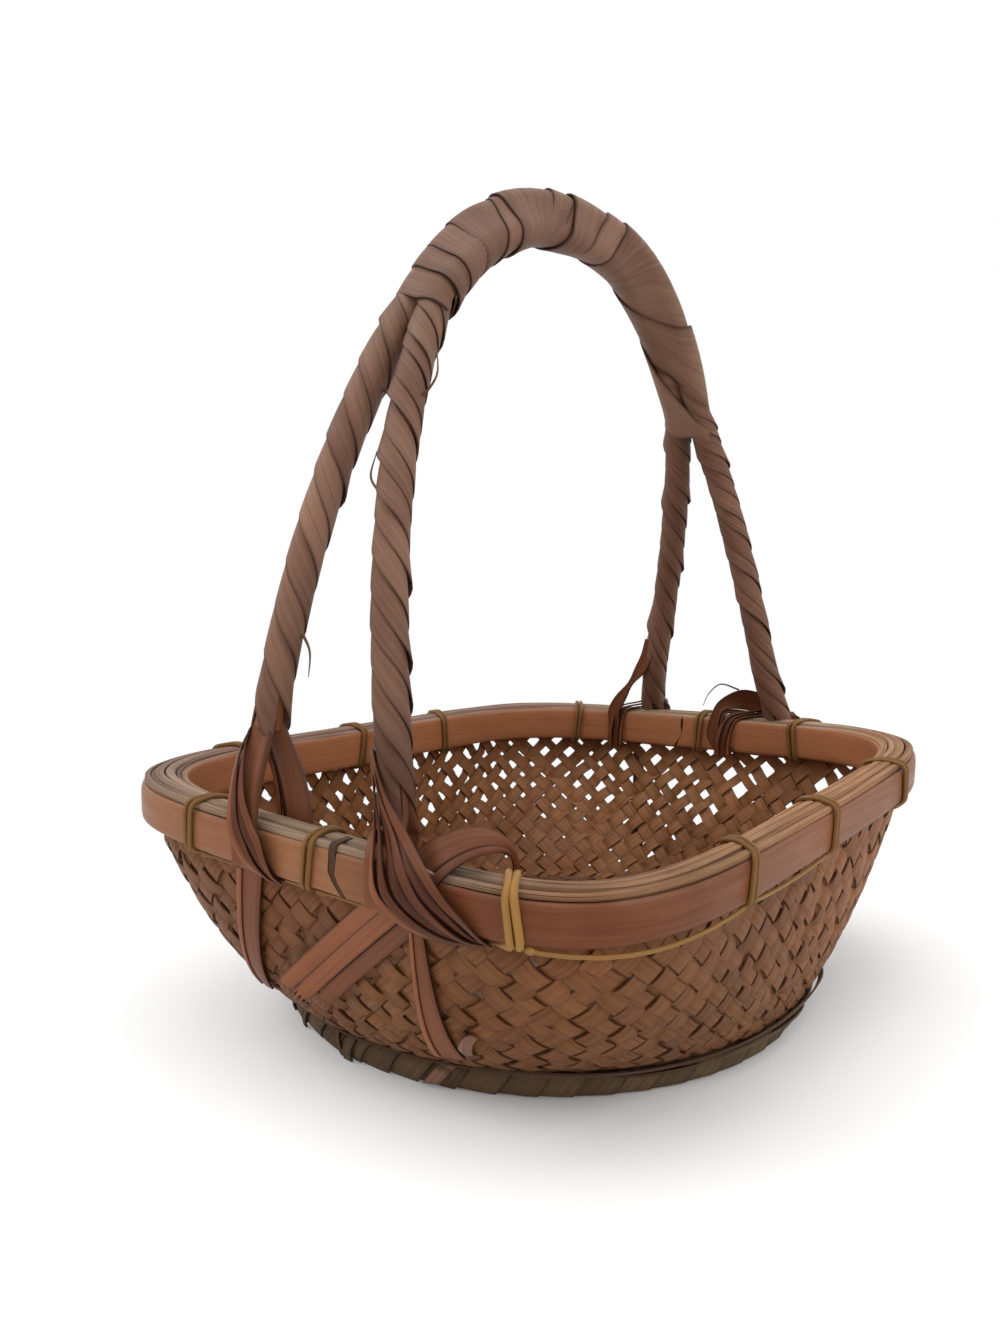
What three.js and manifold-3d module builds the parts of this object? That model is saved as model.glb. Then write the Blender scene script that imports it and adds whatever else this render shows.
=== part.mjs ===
// Ikebana basket of split bamboo: a twill-woven bowl on a wound foot ring, a squared rim of two
// hoops laced with cane, and a handle of two crossed rods whose forked ends straddle the rim.
// Millimetres, +Z up. The origin is on the ground under the middle of the basket. X runs across
// the handle and Y along it: the near side of the basket is at -Y and the far side at +Y.
import * as THREE from 'three';
import { mergeVertices } from 'three/addons/utils/BufferGeometryUtils.js';
import Module from 'manifold-3d';

const wasm = await Module();
wasm.setup();

// Clearances between neighbouring pieces.
const CLEARANCE = 0.3;
const WRAP_CLEARANCE = 0.5;

// Rim: two upright hoops with the top of the woven wall between them.
const RIM_HALF_X = 93.5;
const RIM_HALF_Y = 115;
const RIM_SQUARENESS = 4.8;
const RIM_TOP = 72.5;
const RIM_WARP = 3.7;
const HOOP_HEIGHT = 11;
const HOOP_BEVEL = 1.2;
const OUTER_HOOP_THICKNESS = 4.4;
const INNER_HOOP_THICKNESS = 4.2;
const SCARF_PLACE = 11;
const SCARF_SLANT = 4;
const SCARF_GAP = 0.8;

// Thin splints that cover the top of the hoops in a low dome.
const SPLINT_COUNT = 4;
const SPLINT_MARGIN = 0.9;
const SPLINT_EDGE_THICKNESS = 1.3;
const SPLINT_CROWN_THICKNESS = 2.3;

// Woven bowl.
const WALL_THICKNESS = 2;
const WALL_TOP_DROP = 1.5;
const WALL_SKIRT = 5.5;
const WALL_FLARE = 0.45;
const BASE_OVERHANG = -0.8;
const BASE_SQUARENESS = 2;

// Foot ring: a core wound with a strip.
const FOOT_HALF_X = 81.2;
const FOOT_HALF_Y = 83.3;
const FOOT_OFFSET_X = -1.4;
const FOOT_OFFSET_Y = -1.8;
const FOOT_CORE_RADIUS = 3.85;
const FOOT_STRIP_THICKNESS = 0.75;
const FOOT_STRIP_WIDTH = 14;
const FOOT_TURNS = 23.5;
const FOOT_FLAT_DEPTH = 0.5;

// Handle: an arch of two rods that cross over each other between the places where the legs part.
const LEG_INSET = 9.3;
const HANDLE_HEIGHT = 241;
const ARCH_SPAN_FULLNESS = 2.4;
const ARCH_RISE_FULLNESS = 2.03;
const ROD_RADIUS = 3.7;
const NEAR_PARTING_DROP = 31;
const FAR_PARTING_DROP = 52;
const NEAR_LEG_SPREAD = 26;
const FAR_LEG_SPREAD = 28;
const FORK_RISE = 25.5;
const TONGUE_WIDTH = 7;
const TONGUE_THICKNESS = 2.2;
const TONGUE_ROOT_SHIFT = 1.3;
const TONGUE_KNEE_SHARE = 0.55;

// Strips wound round the handle.
const LEG_STRIP_THICKNESS = 0.7;
const LEG_STRIP_WIDTH = 12;
const LEG_STRIP_PITCH = 13;
const LEG_STRIP_START_DROP = 9;
const GRIP_STRIP_THICKNESS = 0.9;
const GRIP_STRIP_WIDTH = 12.5;
const GRIP_STRIP_PITCH = 14;
const GRIP_END_DROP = 7.5;

// Cane lacing round the rim: two turns at each tie, and a run under the outer hoop between ties.
const CANE_RADIUS = 1.1;
const CANE_CLEARANCE = 0.5;
const CANE_PITCH = 3;
const CANE_TURNS = 2;
const LONG_SIDE_TIES = [-50, 2, 62];
const SHORT_SIDE_TIES = [-42, 3, 66];

// Lashings that bind the forked legs to the rim.
const LASHING_WIDTH = 2.2;
const LASHING_THICKNESS = 0.8;
const LASHING_PITCH = 3.1;
const LASHING_TURNS = 3;
const NEAR_OUTER_FOOT_X = -19;
const NEAR_INNER_FOOT_X = 27;
const FAR_OUTER_FOOT_X = 28;
const FAR_INNER_FOOT_X = -27;
const NEAR_OUTER_SWEEP = 14;
const NEAR_INNER_SWEEP = 20;
const FAR_OUTER_SWEEP = 11;
const FAR_INNER_SWEEP = 14;

// Loose strips: straps down the wall, the bows and their tail, and the stay of one far leg.
// Shifts are measured along X from the foot of the leg that the strip belongs to.
const STRIP_THICKNESS = 0.8;
const WALL_STRAP_WIDTH = 6;
const WALL_STRAP_TOP_DROP = 1.5;
const WALL_STRAP_FOOT_RISE = 7.7;
const OUTER_STRAP_SHIFTS = [-9, -17];
const INNER_STRAP_SHIFTS = [7, -2];
const BOW_FRONT_SHARES = [0, 0.25, 0.5, 0.7, 0.8, 0.8];
const BOW_FRONT_INSETS = [0.5, 2.2, 5.5, 9.4];
const BOW_FRONT_RISES = [2.7, 6, 7.4, 5.4, 0, -8];
const BOW_BACK_SHARES = [-0.05, 0.22, 0.58, 0.95, 1.16, 1.16];
const BOW_BACK_INSETS = [6, 8.5, 11, 13];
const BOW_BACK_RISES = [9, 11.5, 11.8, 7.4, 0, -8];
const NEAR_BOW_SHIFT = 7;
const NEAR_BOW_SPAN = 22;
const FAR_BOW_SHIFT = -6;
const FAR_BOW_SPAN = 17;
const TAIL_WIDTH = 15.5;
const TAIL_SLANT = 0.4;
const TAIL_SHIFTS = [-5, -37];
const TAIL_FALL = 26;
const TAIL_LIFT = 3.5;
const STAY_WIDTH = 5;
const STAY_REACH = 19;
const STAY_TOP_RISE = 24;
const STAY_KNEE_RISE = 8;

// Facets.
const PLAN_STEPS = 40;
const ROD_SIDES = 8;
const ROD_STEP = 9;
const GRIP_SIDES = 12;
const CANE_SIDES = 4;
const STRIP_STEPS = 8;
const BOW_STEPS = 15;
const ARCH_SAMPLES = 120;
const WALL_RING_SHARES = [0, 0.012, 0.05, 0.13, 0.28, 0.5, 0.75, 1];
const WELD_DISTANCE = 1e-4;
const SLOPE_STEP = 1e-3;

// Sizes that follow from the ones above.
const WALL_INSET = OUTER_HOOP_THICKNESS + CLEARANCE;
const INNER_HOOP_INSET = WALL_INSET + WALL_THICKNESS + CLEARANCE;
const RIM_WIDTH = INNER_HOOP_INSET + INNER_HOOP_THICKNESS;
const SPLINT_FLOOR = CLEARANCE;
const RIM_EDGE_RISE = SPLINT_FLOOR + SPLINT_EDGE_THICKNESS;
const RIM_CROWN_RISE = SPLINT_FLOOR + SPLINT_CROWN_THICKNESS;
const ARCH_HALF_SPAN = RIM_HALF_Y - LEG_INSET;
const ARCH_TOP = HANDLE_HEIGHT;
const NEAR_PARTING_HEIGHT = ARCH_TOP - NEAR_PARTING_DROP;
const FAR_PARTING_HEIGHT = ARCH_TOP - FAR_PARTING_DROP;
const FORK_HEIGHT = RIM_TOP + FORK_RISE;
const ROD_OFFSET = ROD_RADIUS + CLEARANCE / 2;
const SIDE_FLATNESS = Math.cos(Math.PI / ROD_SIDES);
const FOOT_STRIP_INSIDE = FOOT_CORE_RADIUS + WRAP_CLEARANCE / SIDE_FLATNESS;
const FOOT_STRIP_OUTSIDE = FOOT_STRIP_INSIDE + FOOT_STRIP_THICKNESS;
const FOOT_AXIS_HEIGHT = FOOT_STRIP_OUTSIDE * SIDE_FLATNESS - FOOT_FLAT_DEPTH;
const FOOT_HEIGHT = FOOT_AXIS_HEIGHT + FOOT_STRIP_OUTSIDE * SIDE_FLATNESS;
const BASE_HEIGHT = FOOT_HEIGHT + CLEARANCE;
const SKIRT_RISE = -HOOP_HEIGHT - WALL_SKIRT;
const WALL_STRAP_TOP = RIM_TOP + SKIRT_RISE - WALL_STRAP_TOP_DROP;
const WALL_STRAP_BOTTOM = BASE_HEIGHT + WALL_STRAP_FOOT_RISE;
const CANE_RUN_RISE = -HOOP_HEIGHT - CANE_CLEARANCE - CANE_RADIUS;
const LASHING_DROP = CANE_CLEARANCE + 2 * CANE_RADIUS + CLEARANCE;
const LEG_STRIP_INSIDE = ROD_RADIUS + WRAP_CLEARANCE / SIDE_FLATNESS;
const GRIP_STRIP_INSIDE = ROD_RADIUS + WRAP_CLEARANCE + CLEARANCE / 3;
const NEAR_OUTER_FOOT = { x: NEAR_OUTER_FOOT_X, side: -1, hand: 1, sweep: NEAR_OUTER_SWEEP };
const NEAR_INNER_FOOT = { x: NEAR_INNER_FOOT_X, side: -1, hand: 1, sweep: NEAR_INNER_SWEEP };
const FAR_OUTER_FOOT = { x: FAR_OUTER_FOOT_X, side: 1, hand: -1, sweep: FAR_OUTER_SWEEP };
const FAR_INNER_FOOT = { x: FAR_INNER_FOOT_X, side: 1, hand: 1, sweep: FAR_INNER_SWEEP };
const FAR_ANGLE = Math.PI / 2;
const TURN = 2 * Math.PI;

const BAMBOO = new THREE.MeshStandardMaterial({ color: 0x8a4f33, roughness: 0.55, metalness: 0 });
const WEAVE = new THREE.MeshStandardMaterial({ color: 0x9a5f3c, roughness: 0.65, metalness: 0 });
const SPLINT = new THREE.MeshStandardMaterial({ color: 0x8d6b58, roughness: 0.7, metalness: 0 });
const WRAPPING = new THREE.MeshStandardMaterial({ color: 0x7a4a3c, roughness: 0.6, metalness: 0 });
const FOOT = new THREE.MeshStandardMaterial({ color: 0x4d3222, roughness: 0.75, metalness: 0 });
const CANE = new THREE.MeshStandardMaterial({ color: 0xa9742f, roughness: 0.5, metalness: 0 });

const basket = new THREE.Group();

/** Adds one named piece to the basket. */
function addPiece(name, geometry, material) {
  geometry.computeVertexNormals();
  const mesh = new THREE.Mesh(geometry, material);
  mesh.name = name;
  basket.add(mesh);
}

// Solids from rows of points.

/** Skins a row of rings into a closed solid. A looped row joins its last ring to its first. */
function loft(rings, looped = false) {
  const count = rings[0].length;
  const points = rings.flat();
  const index = [];
  const rows = looped ? rings.length : rings.length - 1;
  for (let row = 0; row < rows; row += 1) {
    const here = row * count;
    const next = ((row + 1) % rings.length) * count;
    for (let k = 0; k < count; k += 1) {
      const side = (k + 1) % count;
      index.push(...splitQuad(points, [here + k, here + side, next + side, next + k]));
    }
  }
  const last = (rings.length - 1) * count;
  for (let k = 1; k < count - 1 && !looped; k += 1) {
    index.push(0, k + 1, k, last, last + k, last + k + 1);
  }
  const geometry = new THREE.BufferGeometry().setFromPoints(points);
  geometry.setIndex(index);
  if (signedVolume(geometry) < 0) {
    geometry.setIndex(index.toReversed());
  }
  return geometry;
}

/** Two triangles of a face with four corners, parted along its shorter diagonal. */
function splitQuad(points, [a, b, c, d]) {
  const isFirstShorter = points[a].distanceTo(points[c]) < points[b].distanceTo(points[d]) + WELD_DISTANCE;
  return isFirstShorter ? [a, b, c, a, c, d] : [b, c, d, b, d, a];
}

/** Volume of an indexed geometry: negative where its faces point inwards. */
function signedVolume(geometry) {
  const position = geometry.getAttribute('position');
  const corners = [new THREE.Vector3(), new THREE.Vector3(), new THREE.Vector3()];
  let volume = 0;
  for (let k = 0; k < geometry.index.count; k += 3) {
    corners.forEach((corner, n) => corner.fromBufferAttribute(position, geometry.index.getX(k + n)));
    volume += corners[0].dot(corners[1].cross(corners[2])) / 6;
  }
  return volume;
}

/** Rings of a section that is carried along a line of points with mitred corners. */
function sweepRings(points, section) {
  const rings = [section];
  for (let k = 1; k < points.length; k += 1) {
    const run = points[k].clone().sub(points[k - 1]).normalize();
    const after = points[Math.min(k + 1, points.length - 1)].clone().sub(points[k]);
    const mitre = run.clone().add(after.normalize());
    const ring = rings[k - 1].map((corner) => {
      const distance = points[k].clone().sub(corner).dot(mitre) / run.dot(mitre);
      return corner.clone().addScaledVector(run, distance);
    });
    rings.push(ring);
  }
  return rings;
}

/** Round section square to the first run of a line. */
function roundSection(points, side, radius, sides) {
  const run = points[1].clone().sub(points[0]).normalize();
  const across = side.clone().addScaledVector(run, -side.dot(run)).normalize();
  const through = run.clone().cross(across);
  return Array.from({ length: sides }, (_, k) => {
    const angle = (k / sides) * TURN;
    const corner = points[0].clone().addScaledVector(across, radius * Math.cos(angle));
    return corner.addScaledVector(through, radius * Math.sin(angle));
  });
}

/** Prints the least distance between points of a winding that are over half a turn apart. */
function printSelfGap(name, rings, stepsPerTurn) {
  let least = Infinity;
  const apart = Math.ceil(stepsPerTurn / 2);
  rings.forEach((ring, k) => {
    const others = rings.slice(k + apart).flat();
    ring.forEach((corner) => others.forEach((other) => {
      least = Math.min(least, corner.distanceTo(other));
    }));
  });
  console.log(`${name}: least gap to itself ${least.toFixed(2)} mm`);
}

/** Solid of a geometry, for joins and cuts. */
function toSolid(geometry) {
  const bare = new THREE.BufferGeometry();
  bare.setAttribute('position', geometry.getAttribute('position').clone());
  bare.setIndex(geometry.index ? geometry.index.clone() : null);
  const merged = mergeVertices(bare, WELD_DISTANCE);
  const vertProperties = new Float32Array(merged.getAttribute('position').array);
  const triVerts = new Uint32Array(merged.index.array);
  return new wasm.Manifold(new wasm.Mesh({ numProp: 3, vertProperties, triVerts }));
}

/** Geometry of a solid. */
function toGeometry(solid) {
  const mesh = solid.getMesh();
  const geometry = new THREE.BufferGeometry();
  geometry.setAttribute('position', new THREE.BufferAttribute(new Float32Array(mesh.vertProperties), 3));
  geometry.setIndex(new THREE.BufferAttribute(new Uint32Array(mesh.triVerts), 1));
  return geometry;
}

// Plan and section of the rim.

function signedPower(value, power) {
  return Math.sign(value) * Math.abs(value) ** power;
}

/** Point of a squared oval of half size 1, at a given turn angle. */
function ovalPoint(angle, squareness) {
  const x = signedPower(Math.cos(angle), 2 / squareness);
  const y = signedPower(Math.sin(angle), 2 / squareness);
  return new THREE.Vector2(x, y);
}

/** Point of the rim at a turn angle, so far in from the outer face and up from the hoops' top edge. */
function rimPoint(angle, inset, rise) {
  const oval = ovalPoint(angle, RIM_SQUARENESS);
  const height = RIM_TOP + RIM_WARP * oval.x * oval.y + rise;
  return new THREE.Vector3(oval.x * (RIM_HALF_X - inset), oval.y * (RIM_HALF_Y - inset), height);
}

/** Turn angle at which the rim is met by the line from the middle to a point in plan. */
function rimAngle(x, y) {
  const power = RIM_SQUARENESS / 2;
  return Math.atan2(signedPower(y / RIM_HALF_Y, power), signedPower(x / RIM_HALF_X, power));
}

/** Place on the rim's outer face, with the direction of the rim there. */
function rimPlace(x, y) {
  const angle = rimAngle(x, y);
  const start = rimPoint(angle, 0, 0);
  const along = rimPoint(angle + SLOPE_STEP, 0, 0).sub(rimPoint(angle - SLOPE_STEP, 0, 0));
  along.setZ(0).normalize();
  return { start, along, angle };
}

/** Point of the rim a given distance along it from a place. */
function rimPointAlong(place, distance, inset, rise) {
  const target = place.start.clone().addScaledVector(place.along, distance);
  return rimPoint(rimAngle(target.x, target.y), inset, rise);
}

/** Turn angles of the facets, with a half step more on each side of the four axes. */
function planAngles() {
  const step = TURN / PLAN_STEPS;
  const whole = Array.from({ length: PLAN_STEPS }, (_, k) => k * step);
  const halves = [0, 1, 2, 3].flatMap((n) => [n * TURN / 4 - step / 2, n * TURN / 4 + step / 2]);
  return [...whole, ...halves.map((angle) => (angle + TURN) % TURN)].sort((a, b) => a - b);
}

/** Outline moved outwards by a distance, with mitred corners. Its points run clockwise. */
function offsetOutline(outline, distance) {
  return outline.map((point, k) => {
    const before = outline[(k + outline.length - 1) % outline.length];
    const after = outline[(k + 1) % outline.length];
    const runIn = point.clone().sub(before).normalize();
    const runOut = after.clone().sub(point).normalize();
    const normalIn = new THREE.Vector2(-runIn.y, runIn.x);
    const normalOut = new THREE.Vector2(-runOut.y, runOut.x);
    const reach = distance / (1 + normalIn.dot(normalOut));
    return point.clone().addScaledVector(normalIn.add(normalOut), reach);
  });
}

/** Outline of all that a binding goes round: x is the inset and y the rise, from the outer foot up. */
function boundOutline(spare, drop) {
  const outline = [
    [-spare, -HOOP_HEIGHT + HOOP_BEVEL],
    [-spare, 0],
    [SPLINT_MARGIN, RIM_EDGE_RISE],
    [RIM_WIDTH / 2, RIM_CROWN_RISE],
    [RIM_WIDTH - SPLINT_MARGIN, RIM_EDGE_RISE],
    [RIM_WIDTH + spare, 0],
    [RIM_WIDTH + spare, -HOOP_HEIGHT + HOOP_BEVEL],
    [RIM_WIDTH + spare - HOOP_BEVEL, -HOOP_HEIGHT - drop],
    [RIM_WIDTH / 2, -HOOP_HEIGHT - drop],
    [-spare + HOOP_BEVEL, -HOOP_HEIGHT - drop],
  ];
  return outline.map(([inset, rise]) => new THREE.Vector2(inset, rise));
}

// Rim hoops and splints.

/** Hoop of a given section, bent round the rim, with its slanted ends meeting in the middle of a side. */
function openHoop(section, side) {
  const middle = side * Math.PI / 2;
  const endRing = (shift) => section.map(({ x: inset, y: rise }) => {
    const place = SCARF_PLACE + shift - (SCARF_SLANT * rise) / HOOP_HEIGHT;
    return rimPoint(rimAngle(-side * place, side * RIM_HALF_Y), inset, rise);
  });
  const rings = planAngles().slice(1).map((angle) => {
    return section.map(({ x: inset, y: rise }) => rimPoint(middle + angle, inset, rise));
  });
  const closing = section.map(({ x: inset, y: rise }) => rimPoint(middle, inset, rise));
  return loft([endRing(SCARF_GAP), ...rings, closing, endRing(0)]);
}

function rimHoops() {
  const outer = [
    [HOOP_BEVEL, 0],
    [0, -HOOP_BEVEL],
    [0, -HOOP_HEIGHT + HOOP_BEVEL],
    [HOOP_BEVEL, -HOOP_HEIGHT],
    [OUTER_HOOP_THICKNESS, -HOOP_HEIGHT],
    [OUTER_HOOP_THICKNESS, 0],
  ].map(([inset, rise]) => new THREE.Vector2(inset, rise));
  const inner = [
    [RIM_WIDTH - HOOP_BEVEL, 0],
    [RIM_WIDTH, -HOOP_BEVEL],
    [RIM_WIDTH, -HOOP_HEIGHT + HOOP_BEVEL],
    [RIM_WIDTH - HOOP_BEVEL, -HOOP_HEIGHT],
    [INNER_HOOP_INSET, -HOOP_HEIGHT],
    [INNER_HOOP_INSET, 0],
  ].map(([inset, rise]) => new THREE.Vector2(inset, rise));
  addPiece('rim_outer_hoop', openHoop(outer, -1), BAMBOO);
  addPiece('rim_inner_hoop', openHoop(inner, 1), BAMBOO);
}

/** Rise of the domed top of the rim at an inset. */
function crownRise(inset) {
  const reach = (2 * inset - RIM_WIDTH) / (RIM_WIDTH - 2 * SPLINT_MARGIN);
  return RIM_CROWN_RISE - (RIM_CROWN_RISE - RIM_EDGE_RISE) * reach * reach;
}

function rimSplints() {
  const room = RIM_WIDTH - 2 * SPLINT_MARGIN + CLEARANCE;
  const pitch = room / SPLINT_COUNT;
  for (let n = 0; n < SPLINT_COUNT; n += 1) {
    const from = SPLINT_MARGIN + n * pitch;
    const to = from + pitch - CLEARANCE;
    const rings = planAngles().map((angle) => [
      rimPoint(angle, from, SPLINT_FLOOR),
      rimPoint(angle, to, SPLINT_FLOOR),
      rimPoint(angle, to, crownRise(to)),
      rimPoint(angle, from, crownRise(from)),
    ]);
    addPiece(`rim_splint_${n + 1}`, loft(rings, true), SPLINT);
  }
}

// Cane lacing.

function tiePlaces() {
  const near = SHORT_SIDE_TIES.map((x) => rimPlace(x, -RIM_HALF_Y));
  const right = LONG_SIDE_TIES.map((y) => rimPlace(RIM_HALF_X, y));
  const far = SHORT_SIDE_TIES.map((x) => rimPlace(-x, RIM_HALF_Y));
  const left = LONG_SIDE_TIES.map((y) => rimPlace(-RIM_HALF_X, -y));
  return [...near, ...right, ...far, ...left];
}

/** Points of the turns at one tie, which climb the outer face, cross the top and return below. */
function tieTurns(place) {
  const outline = offsetOutline(boundOutline(0, 0), CANE_CLEARANCE + CANE_RADIUS);
  const count = outline.length;
  return Array.from({ length: count * CANE_TURNS + 1 }, (_, k) => {
    const point = outline[(k + count - 1) % count];
    const distance = (k / count - CANE_TURNS / 2) * CANE_PITCH;
    return rimPointAlong(place, distance, point.x, point.y);
  });
}

/** Points of the run under the outer hoop from one tie to the next. */
function caneRun(from, to) {
  const lead = CANE_TURNS * CANE_PITCH;
  const sweep = (to.angle - from.angle + TURN) % TURN;
  const middle = planAngles().map((angle) => (angle - from.angle + TURN) % TURN);
  const start = rimPointAlong(from, lead, 0, 0);
  const end = rimPointAlong(to, -lead, 0, 0);
  const first = (rimAngle(start.x, start.y) - from.angle + TURN) % TURN;
  const last = (rimAngle(end.x, end.y) - from.angle + TURN) % TURN;
  const inside = middle.filter((angle) => angle > first && angle < last && angle < sweep);
  const angles = [first, ...inside.sort((a, b) => a - b), last];
  return angles.map((angle) => rimPoint(from.angle + angle, OUTER_HOOP_THICKNESS / 2, CANE_RUN_RISE));
}

function rimLacing() {
  const places = tiePlaces();
  const points = places.flatMap((place, k) => {
    const turns = tieTurns(place);
    return k < places.length - 1 ? [...turns, ...caneRun(place, places[k + 1])] : turns;
  });
  const rings = sweepRings(points, roundSection(points, places[0].along, CANE_RADIUS, CANE_SIDES));
  printSelfGap('rim_lacing', rings, boundOutline(0, 0).length);
  addPiece('rim_lacing', loft(rings), CANE);
}

// Woven bowl.

/** Half sizes, squareness and height of the bowl's outer face at a share of the way up its wall. */
function wallLevel(share) {
  const flare = share ** WALL_FLARE;
  const baseX = FOOT_HALF_X + BASE_OVERHANG;
  const baseY = FOOT_HALF_Y + BASE_OVERHANG;
  return {
    halfX: baseX + (RIM_HALF_X - WALL_INSET - baseX) * flare,
    halfY: baseY + (RIM_HALF_Y - WALL_INSET - baseY) * flare,
    squareness: BASE_SQUARENESS + (RIM_SQUARENESS - BASE_SQUARENESS) * share,
    height: BASE_HEIGHT + (RIM_TOP + SKIRT_RISE - BASE_HEIGHT) * share,
  };
}

/** Ring of the bowl at a share of its wall, moved in and up by the wall's thickness for the inside. */
function wallRing(share, thickness) {
  const level = wallLevel(share);
  const lift = thickness * (1 - share);
  return planAngles().map((angle) => {
    const oval = ovalPoint(angle, level.squareness);
    const warp = RIM_WARP * oval.x * oval.y * share;
    const x = oval.x * (level.halfX - thickness);
    const y = oval.y * (level.halfY - thickness);
    return new THREE.Vector3(x, y, level.height + lift + warp);
  });
}

/** Upright slot through the wall below the hoops, for a binding to pass. */
function wallSlot(place, from, to, top, bottom) {
  const box = new THREE.BoxGeometry(to - from, 3 * WALL_THICKNESS, top - bottom);
  const inset = WALL_INSET + WALL_THICKNESS / 2;
  const middle = rimPointAlong(place, (from + to) / 2, inset, (top + bottom) / 2);
  box.rotateZ(Math.atan2(place.along.y, place.along.x));
  box.translate(middle.x, middle.y, middle.z);
  return box;
}

function wovenBody() {
  const top = (inset) => planAngles().map((angle) => rimPoint(angle, inset, -WALL_TOP_DROP));
  const outside = WALL_RING_SHARES.map((share) => wallRing(share, 0));
  const inside = WALL_RING_SHARES.toReversed().map((share) => wallRing(share, WALL_THICKNESS));
  const shell = loft([...outside, top(WALL_INSET), top(WALL_INSET + WALL_THICKNESS), ...inside]);
  let solid = toSolid(shell);
  const caneRoom = CANE_PITCH / 2 + CANE_PITCH + CANE_RADIUS;
  tiePlaces().forEach((place) => {
    const bottom = CANE_RUN_RISE - CANE_RADIUS - CANE_CLEARANCE;
    solid = solid.subtract(toSolid(wallSlot(place, -caneRoom, caneRoom, -HOOP_HEIGHT, bottom)));
  });
  legFeet().forEach((foot) => {
    const crossings = lashingCrossings(foot);
    const room = LASHING_WIDTH / 2 + WRAP_CLEARANCE;
    const middle = -HOOP_HEIGHT - LASHING_DROP - CLEARANCE - LASHING_THICKNESS / 2;
    const half = LASHING_THICKNESS / 2 + WRAP_CLEARANCE;
    const slot = wallSlot(foot.place, crossings.from - room, crossings.to + room, middle + half, middle - half);
    solid = solid.subtract(toSolid(slot));
  });
  addPiece('woven_body', toGeometry(solid), WEAVE);
}

/** Point of the bowl's outer face at a height on the near or far side, moved out by an offset. */
function wallPoint(x, height, side, offset) {
  const faceY = (px, pz) => {
    let y = side * RIM_HALF_Y;
    for (let pass = 0; pass < 4; pass += 1) {
      const warp = RIM_WARP * (px / RIM_HALF_X) * (y / RIM_HALF_Y);
      const share = (pz - BASE_HEIGHT) / (RIM_TOP + SKIRT_RISE + warp - BASE_HEIGHT);
      const level = wallLevel(Math.max(share, 0));
      const reach = Math.abs(px / level.halfX) ** level.squareness;
      y = side * level.halfY * (1 - reach) ** (1 / level.squareness);
    }
    return y;
  };
  const slopeX = (faceY(x + SLOPE_STEP, height) - faceY(x - SLOPE_STEP, height)) / (2 * SLOPE_STEP);
  const slopeZ = (faceY(x, height + SLOPE_STEP) - faceY(x, height - SLOPE_STEP)) / (2 * SLOPE_STEP);
  const normal = new THREE.Vector3(-slopeX, 1, -slopeZ).multiplyScalar(side).normalize();
  return new THREE.Vector3(x, faceY(x, height), height).addScaledVector(normal, offset);
}

// Foot ring.

/** Point round the middle line of the foot ring: a turn angle, an angle round the section and a radius. */
function footPoint(angle, roll, radius) {
  const halfX = FOOT_HALF_X - FOOT_STRIP_OUTSIDE;
  const halfY = FOOT_HALF_Y - FOOT_STRIP_OUTSIDE;
  const middle = new THREE.Vector3(halfX * Math.cos(angle), halfY * Math.sin(angle), FOOT_AXIS_HEIGHT);
  const out = new THREE.Vector3(Math.cos(angle) / halfX, Math.sin(angle) / halfY, 0).normalize();
  const point = middle.addScaledVector(out, radius * Math.cos(roll));
  point.x += FOOT_OFFSET_X;
  point.y += FOOT_OFFSET_Y;
  point.z += radius * Math.sin(roll);
  return point;
}

/** Angle of the n-th corner round a section with a flat face below. */
function cornerAngle(n) {
  return ((n + 0.5) / ROD_SIDES) * TURN;
}

function footRing() {
  const rings = planAngles().map((angle) => {
    return Array.from({ length: ROD_SIDES }, (_, n) => footPoint(angle, cornerAngle(n), FOOT_CORE_RADIUS));
  });
  addPiece('foot_ring', loft(rings, true), FOOT);
}

function footWrap() {
  const meanRadius = (FOOT_HALF_X + FOOT_HALF_Y) / 2 - FOOT_STRIP_OUTSIDE;
  const halfWidth = FOOT_STRIP_WIDTH / 2 / meanRadius;
  const steps = Math.round(FOOT_TURNS * ROD_SIDES);
  const sweep = TURN - 3 * halfWidth;
  const rings = Array.from({ length: steps + 1 }, (_, k) => {
    const angle = FAR_ANGLE + (k / steps) * sweep;
    const roll = cornerAngle(k);
    return [
      footPoint(angle - halfWidth, roll, FOOT_STRIP_INSIDE),
      footPoint(angle + halfWidth, roll, FOOT_STRIP_INSIDE),
      footPoint(angle + halfWidth, roll, FOOT_STRIP_OUTSIDE),
      footPoint(angle - halfWidth, roll, FOOT_STRIP_OUTSIDE),
    ];
  });
  printSelfGap('foot_wrap', rings, ROD_SIDES);
  const ground = new THREE.BoxGeometry(3 * FOOT_HALF_X, 3 * FOOT_HALF_Y, FOOT_HEIGHT);
  ground.translate(0, 0, -FOOT_HEIGHT / 2);
  addPiece('foot_wrap', toGeometry(toSolid(loft(rings)).subtract(toSolid(ground))), FOOT);
}

// Handle rods.

/** Middle of the rod pair at a turn of the arch from the near foot, 0, to the far foot, a half turn. */
function archPoint(turn) {
  const y = -ARCH_HALF_SPAN * signedPower(Math.cos(turn), 2 / ARCH_SPAN_FULLNESS);
  const z = RIM_TOP + (ARCH_TOP - RIM_TOP) * signedPower(Math.sin(turn), 2 / ARCH_RISE_FULLNESS);
  return new THREE.Vector3(0, y, z);
}

/** Turn of the arch at which its near half reaches a height. */
function archTurn(height) {
  const share = (height - RIM_TOP) / (ARCH_TOP - RIM_TOP);
  return Math.asin(share ** (ARCH_RISE_FULLNESS / 2));
}

const NEAR_PARTING_TURN = archTurn(NEAR_PARTING_HEIGHT);
const FAR_PARTING_TURN = Math.PI - archTurn(FAR_PARTING_HEIGHT);

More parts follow.
